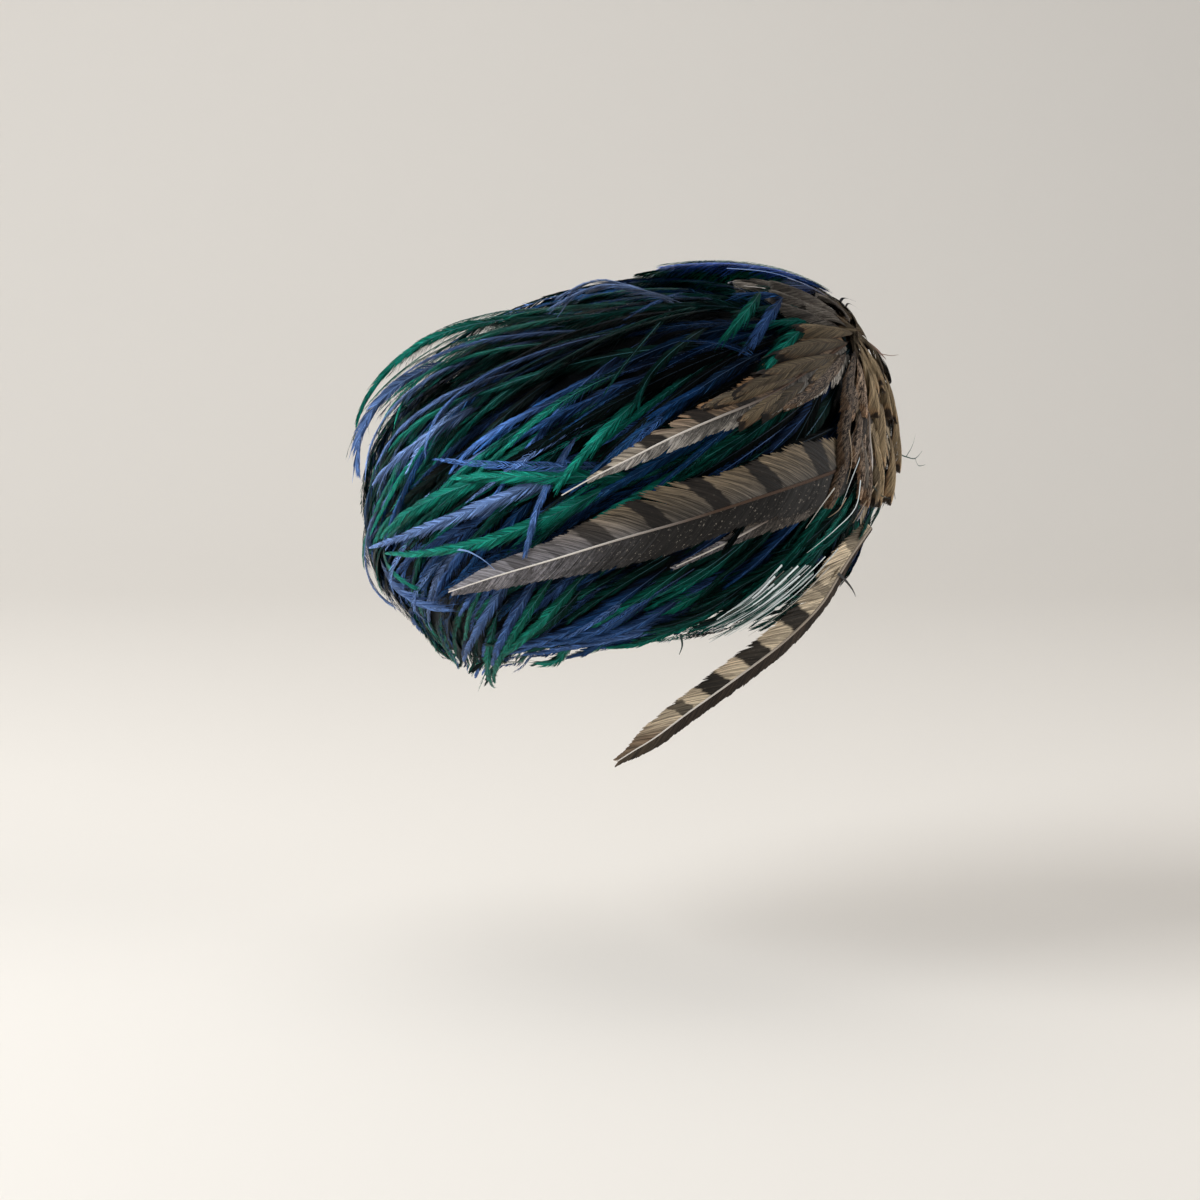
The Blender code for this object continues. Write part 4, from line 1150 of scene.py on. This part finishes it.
plumePieces = {
    "upper": (
        dict(plumeForm, seed=21, vaneTo=0.9, group=(6, 16), cling=0.10, ragged=0.16),
        dict(baseLook, rightOuter=(0.24, 0.13, 0.06), rightInner=(0.12, 0.08, 0.05), fleckLeft=0.7,
             rightTip=(0.34, 0.29, 0.23), leftOuter=(0.34, 0.31, 0.27), leftTip=(0.36, 0.33, 0.30),
             bars=((62, 4, 0.95, 0.2), (79, 5, 0.95, 0.3), (98, 4.5, 0.95, 0.3), (122, 6, 0.95, 0.5),
                   (146, 3, 0.8, 0.5))),
    ),
    "middle": (
        dict(plumeForm, seed=22, ragged=0.03, stray=0.015, cling=0.04, rise=0.12, barb=1.2),
        dict(baseLook, rightInner=(0.068, 0.060, 0.052), rightOuter=(0.155, 0.115, 0.070),
             leftInner=(0.009, 0.008, 0.007), leftOuter=(0.015, 0.013, 0.012), fleck=(0.34, 0.30, 0.25),
             bars=((22, 4.4, 0.97, 0.2), (48, 4.6, 0.97, 0.2), (73, 4.8, 0.97, 0.2), (100, 5.0, 0.95, 0.2),
                   (126, 6, 0.8, 0.3), (146, 4, 0.4, 0.1), (166, 5, 0.6, 0.3))),
    ),
    "under": (dict(plumeForm, seed=23), dict(baseLook, mottleLeft=0.8, mottleRight=0.8, fleckRight=0.3)),
    "front": (
        dict(plumeForm, seed=24, ragged=0.10, stray=0.03, angle=(0.7, 0.45)),
        dict(baseLook, rightInner=(0.13, 0.09, 0.06), rightOuter=(0.20, 0.15, 0.10), mottleRight=0.75,
             leftInner=(0.26, 0.20, 0.13), leftOuter=(0.30, 0.24, 0.16), leftTip=(0.26, 0.21, 0.15),
             fleckRight=0.4, fleckLeft=0.1, mottleLeft=0.1, barLean=0.9,
             bars=((14, 2.2, 0.0, 0.95), (36, 2.4, 0.0, 0.95), (58, 2.4, 0.0, 0.9))),
    ),
    "crown": (
        dict(plumeForm, seed=25, ragged=0.2),
        dict(baseLook, rightOuter=(0.26, 0.22, 0.18), leftOuter=(0.26, 0.22, 0.18), mottleLeft=0.1),
    ),
    "lower": (
        dict(plumeForm, seed=26, angle=(0.6, 0.35), ragged=0.04, cling=0.03, stray=0.02, rise=0.2,
             aside=(3.4, 1.0), edgeRight=(5.0, 0.2), edgeLeft=(0.4, 0.8)),
        dict(baseLook, rightInner=(0.56, 0.47, 0.34), rightOuter=(0.50, 0.40, 0.28), tipFrom=(0.74, 0.88),
             leftInner=(0.03, 0.02, 0.014), leftOuter=(0.03, 0.02, 0.014), leftTip=(0.05, 0.035, 0.022),
             rightTip=(0.16, 0.11, 0.07), fleckLeft=0.05, mottleLeft=0.1, mottleRight=0.05, barLean=0.7,
             wander=4.0, shaftRoot=(0.30, 0.25, 0.20),
             bars=((10, 5, 0.7, 0), (36, 3, 0.45, 0), (55, 6.2, 0.97, 0), (80, 6.6, 0.97, 0),
                   (102, 6.4, 0.97, 0), (119, 3.5, 0.8, 0))),
    ),
}
for plumeName, (form, look) in plumePieces.items():
    makePlume(plumeName, form, vaneMaterial("pheasant " + plumeName, look), ("plume_" + plumeName,))

print("stage 6: short feathers over the plumes' roots")

coverForm = dict(hackleForm, bare=0.0, swell=0.34, point=3.4, angle=(0.62, 0.34), barb=0.95, step=0.55,
                 clumps=1, sweep=0.35, cup=1.0, fray=0.08, shingle=0.10, ruffle=0.02, quill=0.4, stray=0.012,
                 stripe=0.05, stops=(0.0, 0.35, 0.7, 0.9, 1.0), taper=(0.9, 1.0, 1.0, 0.8, 0.2),
                 uneven=(0.95, 1.04), zoned=False)
coverLook = {                 # inner and outer linear colours
    "tan": ((0.085, 0.058, 0.032), (0.190, 0.140, 0.082)),
    "speckled": ((0.014, 0.008, 0.006), (0.220, 0.160, 0.115)),
    "grey": ((0.140, 0.115, 0.095), (0.320, 0.280, 0.235)),
    "edge": (0.012, 0.008, 0.006),
    "rust": (0.240, 0.125, 0.055),
    "quill": (0.045, 0.025, 0.015),
    "speckledFrom": 0.35,     # tints below this are tan, those from greyFrom on are grey
    "greyFrom": 0.70,
    "specular": 0.3,
    "streak": ((2.2, 0.06, 0.9), 3.0, 0.6),
    "streakLight": (0.34, 0.66, 0.40, 1.50),
    "patch": ((0.0, 0.40, 0.55), 3.0, 0.7),
    "rough": (0.5, 0.75),
    "bump": 0.5,
}
coverRules = {
    "seed": 31,
    "points": 11,             # along one feather
    "roll": 0.12,
    "bend": 0.25,             # how far it bends back in
    "arch": 1.2,              # mm higher midway
}
covers = (      # plume, count, mm along it and across, turn outward, length, half width, lift, kinds, light; light is a painted light and shade factor for each group
    ("crown", 9, (0, 26), (-5, 5), (0.02, 0.22), (17, 26), (4.0, 5.5), (0.2, 1.0), (0.80, 1.00), 0.65),
    ("upper", 6, (6, 70), (-3, 6), (0.00, 0.14), (26, 36), (4.8, 6.4), (0.3, 1.0), (0.02, 0.30), 0.35),
    ("front", 8, (2, 50), (3, 9), (0.00, 0.15), (20, 30), (3.8, 5.0), (0.3, 1.0), (0.40, 0.62), 0.75),
    ("front", 8, (0, 44), (-20, -3), (0.00, 0.12), (26, 36), (4.6, 6.4), (0.3, 1.2), (0.00, 0.30), 0.90),
    ("lower", 5, (0, 24), (-2, 4), (0.0, 0.2), (18, 28), (3.0, 4.2), (0.3, 0.9), (0.02, 0.35), 1.00),
)
knotFeathers = (              # three spots (around, down, lift), half width, tint, shade, bottom ones first; shade is painted light and shade, dark on most and bright on the front scales
    ((-2, 69, 17), (6, 72, 17), (15, 74, 16), 4.0, 0.50, 0.23),
    ((-9, 65, 18), (0, 69, 18), (8, 72, 17), 4.5, 0.55, 0.27),
    ((10, 68, 17), (20, 68, 18), (30, 70, 17), 5.5, 0.10, 0.23),
    ((4, 66, 18), (14, 66, 19), (26, 69, 18), 6.0, 0.20, 0.14),
    ((-4, 65, 19), (7, 65, 20), (18, 65, 19), 6.5, 0.15, 0.18),
    ((-10, 63, 20), (2, 61, 21), (13, 61, 20), 6.5, 0.25, 0.14),
    ((-16, 61, 20), (-6, 58, 21), (3, 55, 20), 6.0, 0.10, 0.27),
    ((-17, 59, 19), (-13, 54, 20), (-8, 49, 19), 6.0, 0.90, 0.23),
    ((-19, 58, 20), (-21, 53, 21), (-18, 47, 20), 5.5, 0.85, 0.32),
    ((-23, 60, 20), (-27, 55, 21), (-30, 50, 20), 5.0, 0.20, 0.27),
    ((-20, 57, 19), (-25, 51, 20), (-26, 45, 19), 5.5, 0.90, 0.18),
    ((-3, 84, 17), (3, 92, 17), (8, 99, 16), 4.5, 0.50, 0.27),
    ((-7, 72, 18), (-1, 82, 18), (3, 92, 17), 5.0, 0.45, 0.23),
    ((-13, 65, 19), (-6, 72, 19), (-2, 79, 18), 4.5, 0.55, 0.27),
    ((-27, 68, 18), (-21, 62, 20), (-15, 55, 20), 6.5, 0.20, 0.23),
    ((-10, 69, 18), (-18, 62, 20), (-28, 56, 20), 6.5, 0.25, 0.18),
    ((-30, 64, 18), (-26, 59, 20), (-24, 52, 20), 6.0, 0.15, 0.23),
    ((-4, 85, 18), (-3, 92, 19), (-3, 99, 18), 4.5, 0.90, 0.32),
    ((-8, 86, 18), (-8, 94, 20), (-8, 102, 18), 5.5, 0.10, 1.0),
    ((-18, 73, 20), (-21, 81, 21), (-20, 90, 20), 5.5, 0.20, 0.8),
    ((-10, 74, 19), (-11, 83, 20), (-11, 92, 20), 6.5, 0.15, 1.0),
    ((-13, 66, 20), (-12, 73, 21), (-11, 80, 20), 5.5, 0.10, 0.9),
    ((-20, 64, 20), (-26, 70, 21), (-30, 76, 20), 5.0, 0.25, 0.27),
    ((-15, 63, 20), (-15, 70, 21), (-17, 78, 21), 5.5, 0.20, 0.8),
    ((-17, 61, 21), (-20, 67, 22), (-21, 73, 21), 5.0, 0.15, 0.32),
    ((-33, 60, 16), (-34, 53, 18), (-33, 46, 18), 6.0, 0.85, 0.23),
    ((-20, 58, 17), (-12, 50, 18), (-3, 41, 18), 6.5, 0.80, 0.18),
    ((-22, 57, 17), (-16, 48, 19), (-8, 38, 19), 6.0, 0.90, 0.23),
    ((-16, 58, 17), (-8, 53, 18), (0, 46, 18), 6.0, 0.85, 0.09),
    ((-27, 60, 18), (-27, 53, 20), (-24, 46, 19), 6.5, 0.20, 0.27),
    ((-14, 88, 20), (-13, 95, 21), (-11, 102, 20), 6.0, 0.28, 1.0),
    ((-20, 82, 20), (-19, 89, 21), (-17, 96, 20), 6.5, 0.22, 1.0),
    ((-13, 80, 21), (-11, 87, 21), (-9, 94, 20), 7.0, 0.18, 1.0),
    ((-20, 73, 21), (-20, 79, 22), (-19, 86, 21), 6.0, 0.25, 1.0),
    ((-12, 71, 21), (-11, 77, 22), (-10, 83, 21), 6.5, 0.12, 1.0),
    ((-16, 65, 21), (-16, 70, 22), (-16, 76, 22), 5.5, 0.30, 1.0),
    ((-17, 62, 20), (-16, 70, 21), (-14, 78, 20), 6.0, 0.20, 1.0),
    ((-20, 66, 20), (-19, 75, 21), (-17, 84, 21), 6.0, 0.15, 1.0),
    ((-12, 67, 19), (-9, 74, 20), (-6, 82, 20), 5.0, 0.45, 1.0),
)


def coverMaterial():
    made, start, shader = newMaterial("pheasant body feathers", {"Specular IOR Level": coverLook["specular"]})
    along, out, tint, shade, strand = featherMarks(start)
    streak, patch = strand.grain(*coverLook["streak"]), strand.grain(*coverLook["patch"])
    share = patch.fit(0.30, 0.70)
    tan = out.fit(0.2, 1.0).mixed(coverLook["tan"][1], share.mixed(*coverLook["tan"]))
    speckled = patch.fit(0.44, 0.54).mixed(*coverLook["speckled"])
    body = (tint > coverLook["speckledFrom"]).mixed(tan, speckled)
    body = (tint > coverLook["greyFrom"]).mixed(body, share.mixed(*coverLook["grey"]))
    rim = out * 0.9 + along.fit(0.55, 1.0) * 0.5 + (patch - 0.5) * 0.12
    rust = rim.fit(0.45, 0.70) * (tint < coverLook["greyFrom"]) * 0.4
    edge = rim.fit(0.66, 0.82) * (tint < coverLook["speckledFrom"]) * 0.92
    body = edge.mixed(rust.mixed(body, coverLook["rust"]), coverLook["edge"])
    # painted light and shade through the shade mark, darker towards the root
    light = (shade * 1.85 + 0.12) * streak.fit(*coverLook["streakLight"]) * along.fit(0.0, 0.3, 0.5, 1.0)
    body = (isQuill(out) * 0.8).mixed(body.lit(light), coverLook["quill"])
    dressFeather(shader, strand, streak, body, coverLook)
    return made


def makeCovers():
    rng = random.Random(coverRules["seed"])
    batches = {}
    share = np.linspace(0, 1, coverRules["points"])[:, None]
    for name, count, along, aside, turn, span, width, lift, kinds, light in covers:
        fine, spine, headings, sides, ups, length = plumeTrack(name)
        strips = batches.setdefault(name, Strips())
        for n in range(count):
            place = along[0] + (along[1] - along[0]) * (1 - n / count) + rng.uniform(-2, 2)
            place = np.array([place / length * (plumeStops - 1)])
            q = rng.uniform(*aside)
            bias = rng.uniform(*turn) * (1 if q > 0 else -1)
            root = sample(spine, place) + sample(sides, place) * q
            ahead, beside = unit(sample(headings, place)), unit(sample(sides, place))
            way = ahead * math.cos(bias) + beside * math.sin(bias)
            reach = rng.uniform(*span)
            line = root + way * share * reach
            line = line - beside * math.sin(bias) * reach * coverRules["bend"] * share ** 2
            over = rng.uniform(*lift)
            if name == "lower":
                normals = np.repeat(unit(sample(ups, place)), len(share), 0)
                line = line + normals * over
            else:
                around, down = spotUnder(line)
                over = np.interp(place[0], range(plumeStops), fine[:, 2]) + over
                line = overCap(around, down, over + coverRules["arch"] * np.sin(share[:, 0] * 2.6))
                normals = capNormal(around, down)
            look = dict(coverForm, roll=rng.gauss(0, coverRules["roll"]), width=rng.uniform(*width),
                        tint=rng.uniform(*kinds), shade=rng.random() * light, seed=n * noiseStep["cover"])
            featherBlade(strips, rng, line, normals, reach, look)
    knot = batches.setdefault("knot", Strips())
    for n, (*spots, width, tint, shade) in enumerate(knotFeathers):
        layFeather(knot, rng, spots, coverForm, 0.0, roll=0.0, width=width, tint=tint, shade=shade,
                   seed=n * noiseStep["knot"])
    material = coverMaterial()
    for name, strips in batches.items():
        strips.piece("cover_" + name, "pheasant", material)


makeCovers()

print("stage 7: stray barbs, spikes and bare quills")

strays = (                    # spots (around, down, lift) from root to tip, mm wide at the root, tint
    ((-33, 52, 19), (-35, 52, 22), (-36, 55, 25), 1.6, 0.0),
    ((-32, 54, 19), (-36, 54, 22), (-38, 58, 24), 1.2, 0.0),
    ((-25, 64, 18), (-29, 68, 20), (-33, 71, 21), 5.0, 0.45),
    ((-31, 69, 20), (-36, 71, 24), (-40, 72, 28), 0.5, 0.55),
    ((-24, 68, 17), (-30, 76, 18), (-35, 83, 18), 3.0, 0.0),
    ((-16, 91, 17), (-26, 94, 19), (-33, 95, 23), (-36, 94, 26), 0.9, 0.1),
    ((-26, 94, 19), (-29, 92, 22), (-31, 90, 24), 0.6, 0.1),
    ((-31, 95, 22), (-35, 97, 24), (-37, 97, 27), 0.6, 0.1),
    ((-11, 94, 17), (-14, 98, 18), (-16, 102, 18), 2.6, 0.02),
    ((-4, 97, 19), (-8, 100, 19), (-11, 101, 20), 0.6, 0.2),
    ((-7, 96, 19), (-2, 100, 18), (2, 104, 17), 0.9, 0.80),
    ((0, 95, 19), (2, 100, 19), (8, 104, 18), (15, 108, 16), 0.7, 0.95),
    ((8, 95, 19), (12, 98, 19), (16, 102, 18), 0.7, 0.85),
    ((4, 98, 17), (7, 100, 18), (10, 101, 18), 0.6, 0.80),
    ((3, 116, 14), (-5, 121, 14), (-12, 125, 14), 1.4, 0.0),
    ((88, 91, 17), (84, 92, 19), (81, 95, 18), (80, 97, 17), 1.0, 0.70),
    ((45, 124, 9), (45, 127, 11), (46, 129, 12), 1.2, 0.05),
    # painted highlight: pale strands low at the front, for light glancing off glossy hackles
    ((4, 110, 13), (16, 119, 13), (30, 126, 12), 0.8, 0.9),
    ((8, 111, 13), (19, 118, 13), (32, 124, 12), 0.6, 0.97),
    ((11, 113, 13), (22, 120, 13), (33, 126, 12), 0.8, 0.95),
    ((13, 112, 13), (24, 118, 13), (36, 123, 12), 0.5, 0.9),
    ((6, 114, 13), (17, 122, 13), (27, 128, 12), 0.7, 0.85),
    ((0, 84, 18), (1, 90, 18), (4, 95, 18), 0.6, 0.8),
    ((-2, 90, 18), (2, 94, 18), (6, 99, 18), 0.7, 0.9),
    # painted highlight: light blue strands along the tuft, for its sheen
    ((2, 29, 21), (-7, 38, 23), (-17, 49, 22), 1.2, 0.70),
    ((-9, 41, 23), (-13, 45, 23), (-18, 50, 22), 0.8, 0.74),
)
# the pale stops at 0.9 and 1 are painted highlight for the pale glossy strands
strayTints = [(0.00, (0.004, 0.005, 0.007)), (0.12, (0.002, 0.050, 0.040)), (0.25, (0.020, 0.012, 0.010)),
              (0.50, (0.160, 0.060, 0.035)), (0.60, (0.160, 0.080, 0.045)), (0.70, (0.130, 0.230, 0.480)),
              (0.80, (0.300, 0.220, 0.140)), (0.90, (0.450, 0.500, 0.510)), (1.00, (0.760, 0.840, 0.860))]
strayPoints = 15              # along one strand
paintedSheenFan = {                  # strands above the hanging plume's root, dark green ones and pale ones that are painted highlight for the gloss of the hackles there
    "seed": 57,
    "count": 44,
    "around": (9, 39),        # degrees from where they start to where they end
    "fanned": 9,              # degrees later round that the upper ones start
    "down": ((109, 114), (120.5, 127.5)),     # the upper and the lower one's, at start and end
    "bow": 1.6,
    "lift": (11.5, 14.0),
    "wide": (0.4, 1.3),
    "dark": 0.42,             # share of them that are dark green
    "darkTint": 0.12,
    # the pale tints from here up are painted highlight
    "paleTint": 0.84,
}


def fanStrands(rng):          # rows like those of strays
    strands = []
    for _ in range(paintedSheenFan["count"]):
        aside, start, end = rng.random(), rng.uniform(0, 0.35), rng.uniform(0.75, 1.0)
        first, last = [np.interp(aside, (0, 1), pair) for pair in paintedSheenFan["down"]]
        begin = paintedSheenFan["around"][0] + paintedSheenFan["fanned"] * (1 - aside)
        spots = []
        for share in (start, (start + end) / 2, end):
            around = np.interp(share, (0, 1), (begin, paintedSheenFan["around"][1]))
            down = first * (1 - share) + last * share + paintedSheenFan["bow"] * math.sin(share * 3)
            spots.append((around, down, rng.uniform(*paintedSheenFan["lift"])))
        tint = paintedSheenFan["darkTint"]
        if rng.random() >= paintedSheenFan["dark"]:
            tint = paintedSheenFan["paleTint"] + (1 - paintedSheenFan["paleTint"]) * rng.random() ** 0.7
        strands.append((*spots, rng.uniform(*paintedSheenFan["wide"]), tint))
    return strands


def makeStrays():
    strips = Strips()
    share = np.linspace(0, 1, strayPoints)
    for *spots, wide, tint in (*strays, *fanStrands(random.Random(paintedSheenFan["seed"]))):
        rows, length = smoothRows(spots, overCap(*np.array(spots, float).T), strayPoints)
        line, normals = overCap(*rows.T), capNormal(rows[:, 0], rows[:, 1])
        half = wide / 2 * np.linspace(1, 0.1, strayPoints) ** 0.7
        strand = (half, np.linspace(0, length, strayPoints), 0.0)
        strips.add(line[None], frameOf(line, normals)[1][None], half[None], (share, 0.0, tint, 0.0), strand)
    made, start, shader = newMaterial("bare quills", {"Roughness": 0.4, "Specular IOR Level": 0.4})
    plug(featherMarks(start)[2].ramp(strayTints), shader, "Base Color")
    strips.piece("stray_barbs", "hackle", made)


makeStrays()

print("stage 8: cap, floor, light and camera")

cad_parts["cap_frame"].data.materials.clear()
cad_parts["cap_frame"].data.materials.append(feltMaterial())

studio = {
    "floor": -0.16,           # height, in metres
    "wall": 2.4,              # how far behind the hat the floor has become a wall
    "bend": 1.2,              # radius of the curve between them
    "bendSteps": 12,
    "reach": 16.0,            # of the floor to the sides and the front
    "top": 9.0,
    "pale": (0.80, 0.755, 0.70),
    "room": (0.90, 0.95, 1.0),
    "roomLight": 0.22,
    "azimuth": -50.0,
    "elevation": 8.0,
    "distance": 1.8,
    "lens": 116.1,
    "shiftRight": -0.0209,
    "shiftUp": 0.0033,
    "lampAim": (0, 0, 0.05),
}
lamps = (                     # name; metres right, to the camera and up; size or ball; watts, colour, spread
    ("window", (-1.8, 0.7, 1.0), (1.4, 1.6), 50, (0.95, 0.98, 1.0), 180),
    ("top", (-0.3, -0.5, 1.9), (1.6, 1.6), 9, (1.0, 0.99, 0.97), 180),
    ("fill", (2.2, 0.8, 0.6), (1.5, 1.5), 14, (1.0, 0.99, 0.98), 110),
    ("wall", (-3.6, -0.2, 1.5), None, 115, (1.0, 0.98, 0.96), 180),
)


def makeCamera(right, up, back):
    camera = placed("camera", bpy.data.cameras.new("camera"))
    camera.data.lens = studio["lens"]
    camera.data.sensor_width = 36
    spot = back * studio["distance"] + right * studio["shiftRight"] + up * studio["shiftUp"]
    camera.matrix_world = Matrix.Translation(spot) @ Matrix((right, up, back)).transposed().to_4x4()
    bpy.context.scene.camera = camera


def makeFloor(right, back):   # it runs back and bends up behind the hat
    away = Vector((-back.x, -back.y, 0)).normalized()
    wall, bend, reach = studio["wall"], studio["bend"], studio["reach"]
    profile = [(-reach, 0.0), (wall - bend, 0.0)]
    for n in range(1, studio["bendSteps"] + 1):
        turned = math.radians(90 * n / studio["bendSteps"])
        profile.append((wall - bend * (1 - math.sin(turned)), bend * (1 - math.cos(turned))))
    profile.append((wall, studio["top"]))
    spots = [away * far + right * sideways + Vector((0, 0, studio["floor"] + rise))
             for far, rise in profile for sideways in (-reach, reach)]
    faces = [(2 * n, 2 * n + 1, 2 * n + 3, 2 * n + 2) for n in range(len(profile) - 1)]
    mesh = bpy.data.meshes.new("pale floor")
    mesh.from_pydata(spots, [], faces)
    mesh.shade_smooth()
    floor = placed("pale_floor", mesh)
    paint = {"Base Color": (*studio["pale"], 1), "Roughness": 0.9, "Specular IOR Level": 0.1}
    mesh.materials.append(newMaterial("pale paint", paint)[0])


def makeLamps(right, back):
    for name, spot, size, power, colour, spread in lamps:
        data = bpy.data.lights.new(name, "AREA" if size else "POINT")
        if size:
            data.shape = "RECTANGLE"
            data.size, data.size_y = size
            data.spread = math.radians(spread)
        else:                 # a ball, which has no edge to its light
            data.shadow_soft_size = 1.0
        data.energy = power
        data.color = colour
        made = placed(name, data)
        made.location = right * spot[0] + back * spot[1] + Vector((0, 0, spot[2]))
        aim = Vector(studio["lampAim"]) - made.location
        made.rotation_euler = aim.to_track_quat("-Z", "Y").to_euler()


def makeStudio():
    a, e = math.radians(studio["azimuth"]), math.radians(studio["elevation"])
    back = Vector((math.sin(a) * math.cos(e), -math.cos(a) * math.cos(e), math.sin(e)))
    right = Vector((math.cos(a), math.sin(a), 0))
    makeCamera(right, back.cross(right), back)
    makeFloor(right, back)
    makeLamps(right, back)
    world = bpy.data.worlds.new("soft room")
    world.use_nodes = True
    background = world.node_tree.nodes["Background"]
    background.inputs["Color"].default_value = (*studio["room"], 1)
    background.inputs["Strength"].default_value = studio["roomLight"]
    bpy.context.scene.world = world
    bpy.context.scene.view_settings.view_transform = "Standard"


makeStudio()

print("stage 9: done")
